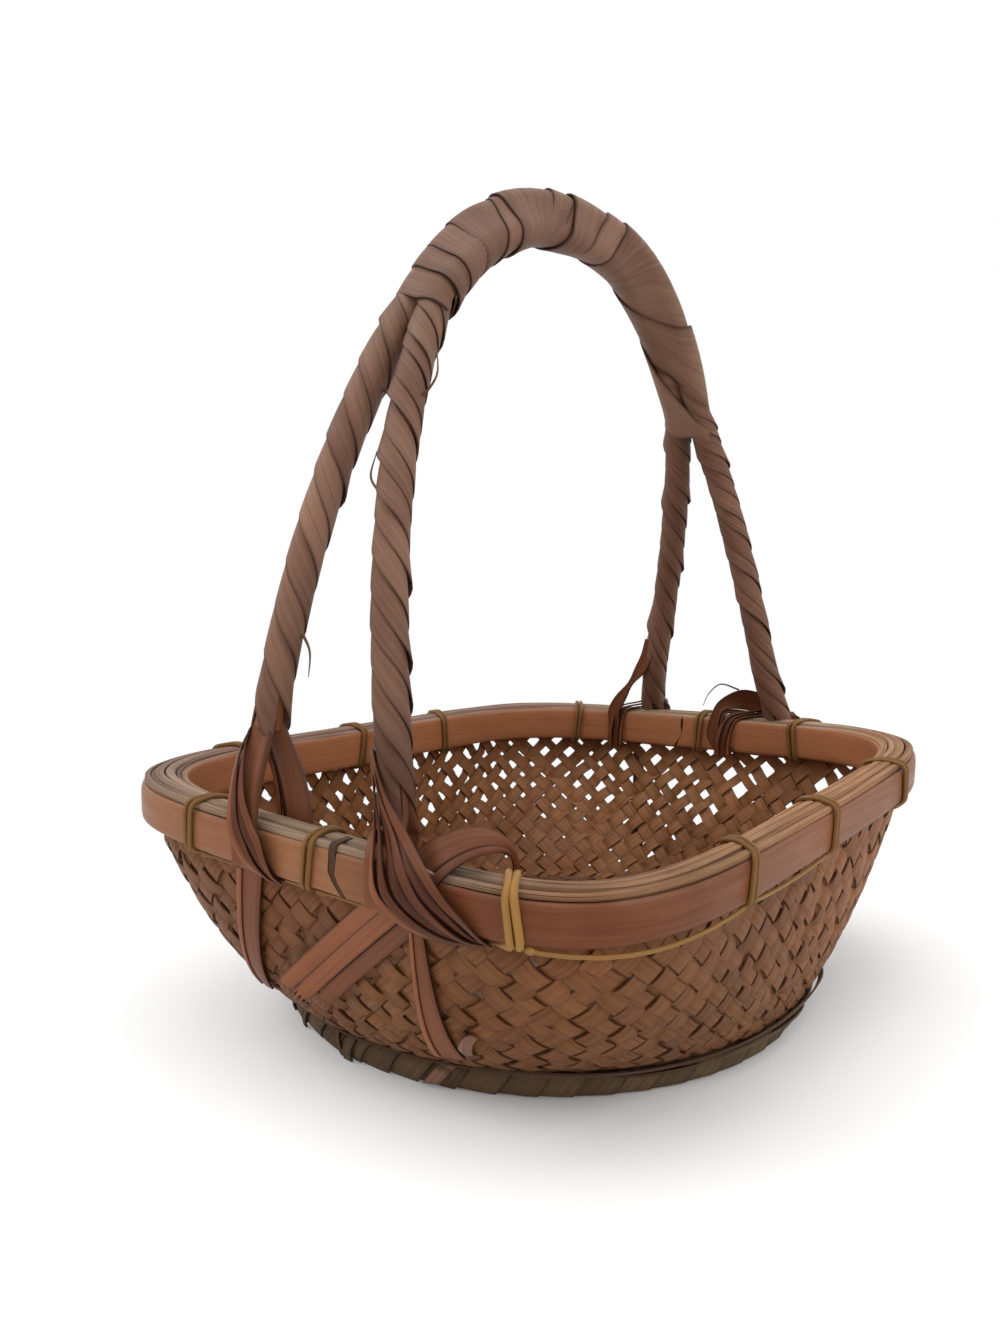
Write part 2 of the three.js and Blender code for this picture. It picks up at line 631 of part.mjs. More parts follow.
/** The pair at a turn of the arch: its middle, direction, the way from it to the outer rod, and how far. */
function archFrame(turn) {
  const middle = archPoint(turn);
  const run = archPoint(turn + SLOPE_STEP).sub(archPoint(turn - SLOPE_STEP)).normalize();
  const out = new THREE.Vector3(0, -run.z, run.y);
  const share = (turn - NEAR_PARTING_TURN) / (FAR_PARTING_TURN - NEAR_PARTING_TURN);
  const roll = Math.PI * THREE.MathUtils.clamp(share, 0, 1);
  const toOuter = new THREE.Vector3(-Math.cos(roll), 0, 0).addScaledVector(out, Math.sin(roll));
  const parting = turn < Math.PI / 2 ? NEAR_PARTING_HEIGHT : FAR_PARTING_HEIGHT;
  const spread = turn < Math.PI / 2 ? NEAR_LEG_SPREAD : FAR_LEG_SPREAD;
  const fall = THREE.MathUtils.clamp((parting - middle.z) / (parting - RIM_TOP), 0, 1);
  const offset = ROD_OFFSET + (spread - ROD_OFFSET) * fall;
  return { middle, run, toOuter, offset };
}

/** Middle line of one rod between its forks: side 1 is the outer rod and -1 the inner rod. */
function rodCurve(side) {
  const start = archTurn(FORK_HEIGHT);
  const points = Array.from({ length: ARCH_SAMPLES + 1 }, (_, k) => {
    const frame = archFrame(start + (k / ARCH_SAMPLES) * (Math.PI - 2 * start));
    return frame.middle.addScaledVector(frame.toOuter, side * frame.offset);
  });
  const curve = new THREE.CatmullRomCurve3(points);
  curve.arcLengthDivisions = 4 * ARCH_SAMPLES;
  return curve;
}

/** Point round a rod: a share of its length, an angle round it and a radius. */
function rodPoint(curve, share, roll, radius) {
  const run = curve.getTangentAt(share);
  const across = new THREE.Vector3(1, 0, 0).addScaledVector(run, -run.x).normalize();
  const through = run.clone().cross(across);
  const point = curve.getPointAt(share).addScaledVector(across, radius * Math.cos(roll));
  return point.addScaledVector(through, radius * Math.sin(roll));
}

/** Tongue of a forked rod end, from inside the rod down one face of the rim. */
function forkTongue(root, foot, inset) {
  const place = foot.place;
  const out = new THREE.Vector3(0, foot.side, 0);
  const top = rimPointAlong(place, 0, inset, RIM_EDGE_RISE);
  const bottom = rimPointAlong(place, 0, inset, -HOOP_HEIGHT + HOOP_BEVEL);
  const lean = Math.sign(top.clone().sub(root).dot(out));
  const start = root.clone().addScaledVector(out, lean * TONGUE_ROOT_SHIFT);
  start.z += 2 * ROD_RADIUS;
  const neck = start.clone().setZ(root.z - ROD_RADIUS);
  const knee = neck.clone().lerp(top, TONGUE_KNEE_SHARE).addScaledVector(out, lean * TONGUE_THICKNESS / 2);
  const rings = [start, neck, knee, top, bottom].map((middle, k) => {
    const halfWidth = (k === 0 ? ROD_RADIUS : TONGUE_WIDTH) / 2;
    const halfThick = TONGUE_THICKNESS / 2;
    return [[-1, -1], [1, -1], [1, 1], [-1, 1]].map(([a, b]) => {
      return middle.clone().add(new THREE.Vector3(a * halfWidth, b * halfThick, 0));
    });
  });
  return toSolid(loft(rings));
}

function legFeet() {
  const feet = [NEAR_OUTER_FOOT, NEAR_INNER_FOOT, FAR_OUTER_FOOT, FAR_INNER_FOOT];
  return feet.map((foot) => ({ ...foot, place: rimPlace(foot.x, foot.side * RIM_HALF_Y) }));
}

/** One rod with its four tongues: two at the near foot and two at the far foot. */
function handleRod(curve, nearFoot, farFoot) {
  const steps = Math.round(curve.getLength() / ROD_STEP);
  const rings = Array.from({ length: steps + 1 }, (_, k) => {
    return Array.from({ length: ROD_SIDES }, (__, n) => rodPoint(curve, k / steps, cornerAngle(n), ROD_RADIUS));
  });
  let solid = toSolid(loft(rings));
  const reach = CLEARANCE + TONGUE_THICKNESS / 2;
  [[nearFoot, 0], [farFoot, 1]].forEach(([foot, end]) => {
    const root = curve.getPointAt(end);
    solid = solid.add(forkTongue(root, foot, -reach));
    solid = solid.add(forkTongue(root, foot, RIM_WIDTH + reach));
  });
  return toGeometry(solid);
}

/** Strip wound down one leg, between two shares of the rod's length, with a left-hand lead. */
function legWrap(name, curve, from, to) {
  const length = curve.getLength();
  const halfWidth = LEG_STRIP_WIDTH / 2 / length;
  const turns = (Math.abs(to - from) * length - LEG_STRIP_WIDTH) / LEG_STRIP_PITCH;
  const steps = Math.floor(turns * ROD_SIDES);
  const way = Math.sign(to - from);
  const outside = LEG_STRIP_INSIDE + LEG_STRIP_THICKNESS;
  const rings = Array.from({ length: steps + 1 }, (_, k) => {
    const middle = from + way * (halfWidth + (k / ROD_SIDES) * (LEG_STRIP_PITCH / length));
    const roll = cornerAngle(-way * k);
    return [
      rodPoint(curve, middle - halfWidth, roll, LEG_STRIP_INSIDE),
      rodPoint(curve, middle + halfWidth, roll, LEG_STRIP_INSIDE),
      rodPoint(curve, middle + halfWidth, roll, outside),
      rodPoint(curve, middle - halfWidth, roll, outside),
    ];
  });
  printSelfGap(name, rings, ROD_SIDES);
  addPiece(name, loft(rings), WRAPPING);
}

/** Point round the rod pair: a turn of the arch, an angle round the pair and a radius from each rod. */
function gripPoint(turn, roll, radius) {
  const frame = archFrame(turn);
  const through = frame.run.clone().cross(frame.toOuter);
  const reach = Math.sign(Math.cos(roll)) * frame.offset + radius * Math.cos(roll);
  const point = frame.middle.addScaledVector(frame.toOuter, reach);
  return point.addScaledVector(through, radius * Math.sin(roll));
}

function gripWrap() {
  const start = archTurn(NEAR_PARTING_HEIGHT - GRIP_END_DROP);
  const end = Math.PI - archTurn(FAR_PARTING_HEIGHT - GRIP_END_DROP);
  const line = Array.from({ length: ARCH_SAMPLES + 1 }, (_, k) => {
    return archPoint(start + (k / ARCH_SAMPLES) * (end - start));
  });
  const length = line.slice(1).reduce((sum, point, k) => sum + point.distanceTo(line[k]), 0);
  const turnPerLength = (end - start) / length;
  const halfWidth = (GRIP_STRIP_WIDTH / 2) * turnPerLength;
  const steps = Math.floor(((length - GRIP_STRIP_WIDTH) / GRIP_STRIP_PITCH) * GRIP_SIDES);
  const outside = GRIP_STRIP_INSIDE + GRIP_STRIP_THICKNESS;
  const rings = Array.from({ length: steps + 1 }, (_, k) => {
    const turn = start + halfWidth + (k / GRIP_SIDES) * GRIP_STRIP_PITCH * turnPerLength;
    const roll = -((k + 0.5) / GRIP_SIDES) * TURN;
    return [
      gripPoint(turn - halfWidth, roll, GRIP_STRIP_INSIDE),
      gripPoint(turn + halfWidth, roll, GRIP_STRIP_INSIDE),
      gripPoint(turn + halfWidth, roll, outside),
      gripPoint(turn - halfWidth, roll, outside),
    ];
  });
  printSelfGap('grip_wrap', rings, GRIP_SIDES);
  addPiece('grip_wrap', loft(rings), WRAPPING);
}

/** Share of a rod's length at which one of its legs reaches a height. */
function legShare(curve, height, far) {
  let low = far ? 1 : 0;
  let high = 0.5;
  for (let k = 0; k < 40; k += 1) {
    const middle = (low + high) / 2;
    const below = curve.getPointAt(middle).z < height;
    low = below ? middle : low;
    high = below ? high : middle;
  }
  return low;
}

function handle() {
  const outer = rodCurve(1);
  const inner = rodCurve(-1);
  const [nearOuter, nearInner, farOuter, farInner] = legFeet();
  addPiece('handle_rod_outer', handleRod(outer, nearOuter, farOuter), BAMBOO);
  addPiece('handle_rod_inner', handleRod(inner, nearInner, farInner), BAMBOO);
  gripWrap();
  const nearTop = NEAR_PARTING_HEIGHT - LEG_STRIP_START_DROP;
  const farTop = FAR_PARTING_HEIGHT - LEG_STRIP_START_DROP;
  const legFoot = FORK_HEIGHT + ROD_RADIUS;
  const legs = [['outer', outer], ['inner', inner]];
  legs.forEach(([name, curve]) => {
    legWrap(`leg_wrap_near_${name}`, curve, legShare(curve, nearTop, false), legShare(curve, legFoot, false));
    legWrap(`leg_wrap_far_${name}`, curve, legShare(curve, farTop, true), legShare(curve, legFoot, true));
  });
}

// Lashings of the legs.

/** Distance along the rim of a lashing strip from its leg, at a rise and after a number of turns. */
function lashingShift(foot, rise, turns) {
  const fall = THREE.MathUtils.clamp(-rise / HOOP_HEIGHT, 0, 1);
  const first = -TONGUE_WIDTH / 2 - WRAP_CLEARANCE - LASHING_WIDTH / 2 - LASHING_TURNS * LASHING_PITCH;
  return foot.hand * (first + turns * LASHING_PITCH + foot.sweep * fall);
}

/** Stretch of the rim under which a lashing crosses to the inside. */
function lashingCrossings(foot) {
  const first = lashingShift(foot, -HOOP_HEIGHT, 0);
  const last = lashingShift(foot, -HOOP_HEIGHT, LASHING_TURNS);
  return { from: Math.min(first, last), to: Math.max(first, last) };
}

function legLashing(name, foot) {
  const bound = boundOutline(CLEARANCE + TONGUE_THICKNESS, LASHING_DROP);
  const faces = [CLEARANCE, CLEARANCE + LASHING_THICKNESS].map((out) => offsetOutline(bound, out));
  const half = LASHING_WIDTH / 2;
  const rings = Array.from({ length: bound.length * LASHING_TURNS }, (_, k) => {
    const [under, over] = faces.map((outline) => outline[k % bound.length]);
    const shift = lashingShift(foot, bound[k % bound.length].y, k / bound.length);
    return [
      rimPointAlong(foot.place, shift - half, under.x, under.y),
      rimPointAlong(foot.place, shift + half, under.x, under.y),
      rimPointAlong(foot.place, shift + half, over.x, over.y),
      rimPointAlong(foot.place, shift - half, over.x, over.y),
    ];
  });
  printSelfGap(name, rings, bound.length);
  addPiece(name, loft(rings), WRAPPING);
}

function lashings() {
  const [nearOuter, nearInner, farOuter, farInner] = legFeet();
  legLashing('leg_lashing_near_outer', nearOuter);
  legLashing('leg_lashing_near_inner', nearInner);
  legLashing('leg_lashing_far_outer', farOuter);
  legLashing('leg_lashing_far_inner', farInner);
}

// Loose strips.

/** Strap that lies on the wall from below a leg's lashing down to the foot. */
function wallStrap(name, foot, shifts) {
  const side = foot.side;
  const [topX, bottomX] = shifts.map((shift) => foot.x - side * shift);
  const rings = Array.from({ length: STRIP_STEPS + 1 }, (_, k) => {
    const share = k / STRIP_STEPS;
    const x = THREE.MathUtils.lerp(topX, bottomX, share);
    const height = THREE.MathUtils.lerp(WALL_STRAP_TOP, WALL_STRAP_BOTTOM, share);
    const left = x - WALL_STRAP_WIDTH / 2;
    const right = x + WALL_STRAP_WIDTH / 2;
    const outside = CLEARANCE + STRIP_THICKNESS;
    return [
      wallPoint(left, height, side, CLEARANCE),
      wallPoint(right, height, side, CLEARANCE),
      wallPoint(right, height, side, outside),
      wallPoint(left, height, side, outside),
    ];
  });
  addPiece(name, loft(rings), WRAPPING);
}

/** Edge of a bow, given along the rim, in from it and above it; past its last inset it lies on the inner hoop. */
function bowEdge(place, span, lift, shares, insets, rises) {
  const inside = RIM_WIDTH + CLEARANCE + STRIP_THICKNESS / 2;
  const points = shares.map((share, k) => {
    return rimPointAlong(place, span * share, insets[k] ?? inside, rises[k] + lift);
  });
  return new THREE.CatmullRomCurve3(points).getPoints(BOW_STEPS);
}

/** Bow that springs from the outer edge of the rim, arches over it and is tucked down inside the inner hoop. */
function bow(name, foot, shift, span, lift) {
  const place = rimPlace(foot.x + shift, foot.side * RIM_HALF_Y);
  const front = bowEdge(place, span, lift, BOW_FRONT_SHARES, BOW_FRONT_INSETS, BOW_FRONT_RISES);
  const back = bowEdge(place, span, lift, BOW_BACK_SHARES, BOW_BACK_INSETS, BOW_BACK_RISES);
  const rings = front.map((low, k) => {
    const high = back[k];
    const before = Math.max(k - 1, 0);
    const after = Math.min(k + 1, BOW_STEPS);
    const run = front[after].clone().sub(front[before]).add(back[after]).sub(back[before]);
    const through = run.cross(high.clone().sub(low)).setLength(STRIP_THICKNESS / 2);
    return [
      low.clone().sub(through),
      high.clone().sub(through),
      high.clone().add(through),
      low.clone().add(through),
    ];
  });
  addPiece(name, loft(rings), WRAPPING);
}

/** Wide tail of the near bow: it slants down over the wall and lifts away from it, with skew ends. */
function bowTail() {
  const half = (TAIL_WIDTH / 2) * Math.cos(TAIL_SLANT);
  const dip = (TAIL_WIDTH / 2) * Math.sin(TAIL_SLANT);
  const [from, to] = TAIL_SHIFTS.map((shift) => NEAR_INNER_FOOT.x + shift);
  const rings = Array.from({ length: STRIP_STEPS + 1 }, (_, k) => {
    const share = k / STRIP_STEPS;
    const x = THREE.MathUtils.lerp(from, to, share);
    const height = WALL_STRAP_TOP - TAIL_FALL * share;
    const under = CLEARANCE + TAIL_LIFT * share * share;
    const over = under + STRIP_THICKNESS;
    return [
      wallPoint(x - half, height + dip, -1, under),
      wallPoint(x + half, height - dip, -1, under),
      wallPoint(x + half, height - dip, -1, over),
      wallPoint(x - half, height + dip, -1, over),
    ];
  });
  addPiece('bow_tail_near', loft(rings), WRAPPING);
}

/** Stay from the far inner leg, slanting along the rim and down over the inner hoop. */
function legStay() {
  const foot = legFeet()[3];
  const inset = RIM_WIDTH + 2 * TONGUE_THICKNESS;
  const face = RIM_WIDTH + CLEARANCE + STRIP_THICKNESS / 2;
  const line = [
    [(TONGUE_WIDTH + STAY_WIDTH) / 2 - HOOP_BEVEL, inset, STAY_TOP_RISE],
    [(3 / 4) * STAY_REACH, inset, STAY_KNEE_RISE],
    [STAY_REACH, face, -HOOP_BEVEL],
    [STAY_REACH, face, -HOOP_HEIGHT + HOOP_BEVEL],
  ];
  const rings = line.map(([distance, depth, rise]) => {
    return [[-1, -1], [1, -1], [1, 1], [-1, 1]].map(([a, b]) => {
      const along = distance + a * STAY_WIDTH / 2;
      return rimPointAlong(foot.place, along, depth + b * STRIP_THICKNESS / 2, rise);
    });
  });
  addPiece('leg_stay_far', loft(rings), WRAPPING);
}

wovenBody();
footRing();
footWrap();
rimHoops();
rimSplints();
rimLacing();
handle();
lashings();
wallStrap('wall_strap_near_outer', NEAR_OUTER_FOOT, OUTER_STRAP_SHIFTS);
wallStrap('wall_strap_near_inner', NEAR_INNER_FOOT, INNER_STRAP_SHIFTS);
wallStrap('wall_strap_far_outer', FAR_OUTER_FOOT, OUTER_STRAP_SHIFTS);
wallStrap('wall_strap_far_inner', FAR_INNER_FOOT, INNER_STRAP_SHIFTS);
bow('bow_near', NEAR_INNER_FOOT, NEAR_BOW_SHIFT, NEAR_BOW_SPAN, 0);
bow('bow_far', FAR_OUTER_FOOT, FAR_BOW_SHIFT, FAR_BOW_SPAN, CLEARANCE + LASHING_THICKNESS);
bowTail();
legStay();

export default basket;
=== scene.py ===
"""Dresses a bamboo flower basket: weaves its bowl, binds its rim, winds its handle and sets the stage."""

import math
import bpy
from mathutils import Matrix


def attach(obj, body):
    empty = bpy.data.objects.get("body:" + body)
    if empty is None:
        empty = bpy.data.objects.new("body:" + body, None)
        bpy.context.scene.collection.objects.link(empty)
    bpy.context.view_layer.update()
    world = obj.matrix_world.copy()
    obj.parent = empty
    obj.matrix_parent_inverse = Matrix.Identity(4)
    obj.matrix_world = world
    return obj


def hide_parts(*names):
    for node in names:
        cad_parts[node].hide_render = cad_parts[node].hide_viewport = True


bl_info = {
    "name": "Bamboo Flower Basket",
    "version": (1, 0, 0),
    "blender": (4, 5, 0),
    "location": "View3D > Sidebar > Basket",
    "description": "Weaves, binds and finishes a bamboo flower basket over its solid frame",
    "category": "Add Mesh",
}

import bpy
import numpy as np
from mathutils import Matrix

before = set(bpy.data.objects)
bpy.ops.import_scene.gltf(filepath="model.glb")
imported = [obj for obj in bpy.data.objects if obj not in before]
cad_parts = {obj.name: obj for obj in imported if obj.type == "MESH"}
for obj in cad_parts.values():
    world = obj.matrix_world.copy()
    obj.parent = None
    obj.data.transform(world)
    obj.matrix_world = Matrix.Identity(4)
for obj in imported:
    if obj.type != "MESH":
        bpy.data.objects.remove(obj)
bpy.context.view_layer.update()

MM = 0.001
TURN = 2 * math.pi
LEGS = ("near_outer", "near_inner", "far_outer", "far_inner")
PHOTO_SIZE = (1000, 1330)
WALL_COLUMNS = 1440


# Sizes and colours in the sidebar.


def length(name, text, default):
    """A length in metres that the sidebar shows in the scene's unit."""
    return bpy.props.FloatProperty(name=name, description=text, default=default, unit="LENGTH", precision=4)


def colour(name, text, default):
    """A colour that the sidebar shows as a swatch."""
    return bpy.props.FloatVectorProperty(
        name=name, description=text, default=default, subtype="COLOR", min=0, max=1, size=3
    )


class BasketSizes(bpy.types.PropertyGroup):
    """Sizes of the basket and of its strips."""

    rim_half_x: length("Rim half width", "Half of the rim across the handle", 0.0935)
    rim_half_y: length("Rim half length", "Half of the rim along the handle", 0.115)
    rim_top: length("Rim height", "Height of the hoops' top edge", 0.0725)
    rim_warp: length("Rim warp", "How far two corners of the rim rise and the others fall", 0.0037)
    hoop_height: length("Hoop height", "Height of the two rim hoops", 0.011)
    handle_height: length("Handle height", "Height of the middle line of the arch", 0.241)
    rod_radius: length("Rod radius", "Radius of a handle rod", 0.0037)
    foot_half_x: length("Foot half width", "Half of the foot ring across the handle", 0.0812)
    foot_half_y: length("Foot half length", "Half of the foot ring along the handle", 0.0833)
    weave_width: length("Weaving strip", "Width of a weaving strip where the wall is open", 0.0042)
    weave_rise: length("Weave relief", "How far a strip rises over the one it crosses", 0.00052)
    leg_strip: length("Leg strip", "Room that a strip takes along a leg", 0.0106)
    leg_lead: length("Leg lead", "How far a strip climbs a leg in one turn", 0.034)
    grip_strip: length("Grip strip", "Room that a strip takes along the grip", 0.0200)
    grip_lead: length("Grip lead", "How far a strip goes along the grip in one turn", 0.0330)
    cane_radius: length("Cane radius", "Radius of the lacing cane", 0.001)
    weave_count: bpy.props.IntProperty(
        name="Weaving strips", description="Strips in each direction, an even number", default=72, min=8
    )


class BasketColours(bpy.types.PropertyGroup):
    """Colours of the bamboo, the cane and the floor."""

    weave_light: colour("Weave light", "Pale fibres of the weaving strips", (0.235, 0.090, 0.029))
    weave_dark: colour("Weave dark", "Dark fibres of the weaving strips", (0.085, 0.024, 0.006))
    hoop_light: colour("Hoop light", "Bleached fibres of the outer hoop", (0.380, 0.165, 0.075))
    hoop_dark: colour("Hoop dark", "Red fibres of the outer hoop", (0.095, 0.020, 0.005))
    # The inner hoop's colours are paler than the outer hoop's, in part as painted light for light that falls
    # inside the bowl.
    inner_light: colour("Inner hoop light", "Pale fibres of the inner hoop", (0.500, 0.195, 0.088))
    inner_dark: colour("Inner hoop dark", "Dark fibres of the inner hoop", (0.220, 0.072, 0.030))
    splint_light: colour("Splint light", "Bleached fibres on top of the rim", (0.405, 0.262, 0.172))
    splint_dark: colour("Splint dark", "Dark fibres on top of the rim", (0.100, 0.054, 0.033))
    wrap_light: colour("Wrap light", "Pale fibres of the handle's strips", (0.250, 0.132, 0.086))
    wrap_dark: colour("Wrap dark", "Dark fibres of the handle's strips", (0.085, 0.033, 0.019))
    far_wrap_light: colour("Far wrap light", "Pale fibres of the far legs' strips", (0.235, 0.115, 0.072))
    far_wrap_dark: colour("Far wrap dark", "Dark fibres of the far legs' strips", (0.085, 0.032, 0.019))
    lash_light: colour("Lashing light", "Pale fibres of lashings, bows and straps", (0.330, 0.104, 0.036))
    lash_dark: colour("Lashing dark", "Dark fibres of lashings, bows and straps", (0.058, 0.015, 0.006))
    cane_light: colour("Cane light", "Pale fibres of the cane", (0.295, 0.146, 0.038))
    cane_dark: colour("Cane dark", "Dark fibres of the cane", (0.110, 0.045, 0.014))
    foot_light: colour("Foot light", "Pale fibres of the foot", (0.175, 0.102, 0.052))
    foot_dark: colour("Foot dark", "Dark fibres of the foot", (0.044, 0.025, 0.013))
    floor: colour("Floor", "Pale floor", (0.92, 0.925, 0.93))


# Lines and faces of the basket, in millimetres.


def signed_power(value, power):
    return np.sign(value) * np.abs(value) ** power


def unit(vectors):
    return vectors / np.maximum(np.linalg.norm(vectors, axis=-1, keepdims=True), 1e-9)


def stack(x, y, z):
    return np.stack(np.broadcast_arrays(x, y, z), axis=-1).astype(float)


def smooth(share):
    share = np.clip(share, 0, 1)
    return share * share * (3 - 2 * share)


def sample_line(points, share, even=True):
    """Points at shares of a smooth line through some points, by its length or by the count of its points."""
    points = np.asarray(points, float)
    ends = np.vstack([2 * points[0] - points[1], points, 2 * points[-1] - points[-2]])
    fine = []
    for k in range(1, len(ends) - 2):
        t = np.linspace(0, 1, 24, endpoint=False)[:, None]
        a, b, c, d = ends[k - 1], ends[k], ends[k + 1], ends[k + 2]
        bend = 2 * b + (c - a) * t + (2 * a - 5 * b + 4 * c - d) * t**2 + (3 * b - a - 3 * c + d) * t**3
        fine.append(bend / 2)
    fine = np.vstack(fine + [points[-1:]])
    run = np.arange(len(fine), dtype=float)
    if even:
        run = np.concatenate([[0], np.cumsum(np.linalg.norm(np.diff(fine, axis=0), axis=1))])
    return np.stack([np.interp(np.asarray(share) * run[-1], run, fine[:, n]) for n in range(3)], axis=-1)


def line_run(line, share, step):
    """Direction of a line at a share of its length, from two points a step to either side."""
    ahead = sample_line(line, np.clip(share + step, 0, 1))
    behind = sample_line(line, np.clip(share - step, 0, 1))
    return unit(ahead - behind)


def round_corners(points, reach):
    """A line of straight runs with each corner replaced by a short bend."""
    points = np.asarray(points, float)
    line = [points[0]]
    for before, corner, after in zip(points[:-2], points[1:-1], points[2:]):
        into = before - corner
        out = after - corner
        start = corner + into * min(0.45, reach / max(np.linalg.norm(into), 1e-6))
        end = corner + out * min(0.45, reach / max(np.linalg.norm(out), 1e-6))
        for t in (0, 0.33, 0.67, 1):
            line.append((1 - t) ** 2 * start + 2 * t * (1 - t) * corner + t * t * end)
    line.append(points[-1])
    return np.array(line)


def offset_outline(outline, distance):
    """An outline whose points run clockwise, moved outwards with mitred corners."""
    outline = np.asarray(outline, float)
    run_in = unit(outline - np.roll(outline, 1, axis=0))
    run_out = unit(np.roll(outline, -1, axis=0) - outline)
    normal_in = np.stack([-run_in[:, 1], run_in[:, 0]], axis=-1)
    normal_out = np.stack([-run_out[:, 1], run_out[:, 0]], axis=-1)
    reach = distance / (1 + np.sum(normal_in * normal_out, axis=1, keepdims=True))
    return outline + (normal_in + normal_out) * reach


class BasketShape:
    """Where the basket's pieces lie, from the sizes in the sidebar."""

    clearance = 0.3
    squareness = 4.8
    hoop_bevel = 1.2
    outer_hoop = 4.4
    inner_hoop = 4.2
    wall = 2.0
    arch_shoulder = 2.4
    arch_crown = 2.03
    wall_flare = 0.45
    wall_skirt = 5.5
    splint_margin = 0.9
    edge_rise = 1.6
    crown_rise = 2.6
    tongue_thickness = 2.2
    foot_core = 3.85
    foot_shift = (-1.4, -1.8)
    base_overhang = -0.8
    foot_strip = 0.75
    near_parting_drop = 31.0
    far_parting_drop = 52.0
    near_spread = 26.0
    far_spread = 28.0
    leg_inset = 9.3
    fork_rise = 25.5
    long_ties = (-50, 2, 62)
    short_ties = (-42, 3, 66)

    def __init__(self, sizes):
        self.a = sizes.rim_half_x / MM
        self.b = sizes.rim_half_y / MM
        self.top = sizes.rim_top / MM
        self.warp = sizes.rim_warp / MM
        self.hoop = sizes.hoop_height / MM
        self.arch_top = sizes.handle_height / MM
        self.rod = sizes.rod_radius / MM
        self.foot_x = sizes.foot_half_x / MM
        self.foot_y = sizes.foot_half_y / MM
        self.cane = sizes.cane_radius / MM
        self.wall_inset = self.outer_hoop + self.clearance
        self.inner_inset = self.wall_inset + self.wall + self.clearance
        self.rim_width = self.inner_inset + self.inner_hoop
        flat = math.cos(math.pi / 8)
        self.foot_strip_in = self.foot_core + 0.5 / flat
        self.foot_outside = self.foot_strip_in + self.foot_strip
        self.foot_axis = self.foot_outside * flat - 0.5
        self.base = self.foot_axis + self.foot_outside * flat + self.clearance
        self.skirt = self.top - self.hoop - self.wall_skirt
        self.near_parting = self.arch_top - self.near_parting_drop
        self.far_parting = self.arch_top - self.far_parting_drop
        self.fork = self.top + self.fork_rise
        self.half_span = self.b - self.leg_inset
        self.feet = {
            "near_outer": {"x": -19, "side": -1, "hand": 1, "inner_shift": 4.5, "wrap_end": 3},
            "near_inner": {"x": 27, "side": -1, "hand": 1, "inner_shift": 0, "wrap_end": -14},
            "far_outer": {"x": 28, "side": 1, "hand": -1, "inner_shift": 0, "wrap_end": -24},
            "far_inner": {"x": -27, "side": 1, "hand": 1, "inner_shift": 0, "wrap_end": -24},
        }
        self.measure_rim()
        self.near_turn = self.arch_turn(self.near_parting)
        self.far_turn = math.pi - self.arch_turn(self.far_parting)

    # Rim.

    def measure_rim(self):
        self.rim_angles = np.linspace(0, TURN, 4097)
        line = self.rim_point(self.rim_angles, 0, 0)[:, :2]
        steps = np.linalg.norm(np.diff(line, axis=0), axis=1)
        self.rim_run = np.concatenate([[0], np.cumsum(steps)])
        self.rim_length = self.rim_run[-1]

    def rim_point(self, angle, inset, rise):
        """Point of the rim seen at an angle from the middle, so far in and so far up."""
        across = np.cos(angle) / self.a
        along = np.sin(angle) / self.b
        power = self.squareness
        reach = (np.abs(across) ** power + np.abs(along) ** power) ** (-1 / power)
        x = reach * across
        y = reach * along
        return stack(x * (self.a - inset), y * (self.b - inset), self.top + self.warp * x * y + rise)

    def rim_at(self, distance, inset, rise):
        """Point of the rim after a distance round it from the +X side."""
        angle = np.interp(np.mod(distance, self.rim_length), self.rim_run, self.rim_angles)
        return self.rim_point(angle, inset, rise)

    def rim_distance(self, x, y):
        return np.interp(math.atan2(y, x) % TURN, self.rim_angles, self.rim_run)

    def rim_place(self, x, y):
        angle = math.atan2(y, x)
        start = self.rim_point(angle, 0, 0)[:2]
        along = unit(self.rim_point(angle + 1e-4, 0, 0)[:2] - self.rim_point(angle - 1e-4, 0, 0)[:2])
        return start, along

    def rim_along(self, place, distance, inset, rise):
        """Point of the rim a distance along it from a place."""
        start, along = place
        distance = np.asarray(distance, float)
        angle = np.arctan2(start[1] + along[1] * distance, start[0] + along[0] * distance)
        return self.rim_point(angle, inset, rise)

    def foot_place(self, foot):
        return self.rim_place(foot["x"], foot["side"] * self.b)

    def tie_places(self):
        near = [self.rim_place(x, -self.b) for x in self.short_ties]
        right = [self.rim_place(self.a, y) for y in self.long_ties]
        far = [self.rim_place(-x, self.b) for x in self.short_ties]
        left = [self.rim_place(-self.a, -y) for y in self.long_ties]
        return near + right + far + left

    def bound_outline(self):
        """Outline of all that the lacing goes round, as inset and rise, from the outer foot up."""
        wide = self.rim_width
        low = -self.hoop
        return np.array([
            [0, low + self.hoop_bevel],
            [0, 0],
            [self.splint_margin, self.edge_rise],
            [wide / 2, self.crown_rise],
            [wide - self.splint_margin, self.edge_rise],
            [wide, 0],
            [wide, low + self.hoop_bevel],
            [wide - self.hoop_bevel, low],
            [wide / 2, low],
            [self.hoop_bevel, low],
        ])

    def crown(self, inset):
        reach = (2 * inset - self.rim_width) / (self.rim_width - 2 * self.splint_margin)
        return self.crown_rise - (self.crown_rise - self.edge_rise) * reach**2

    # Wall.

    def wall_level(self, share):
        flare = np.asarray(share, float) ** self.wall_flare
        base_x = self.foot_x + self.base_overhang
        base_y = self.foot_y + self.base_overhang
        half_x = base_x + (self.a - self.wall_inset - base_x) * flare
        half_y = base_y + (self.b - self.wall_inset - base_y) * flare
        return half_x, half_y, 2 + (self.squareness - 2) * np.asarray(share, float)

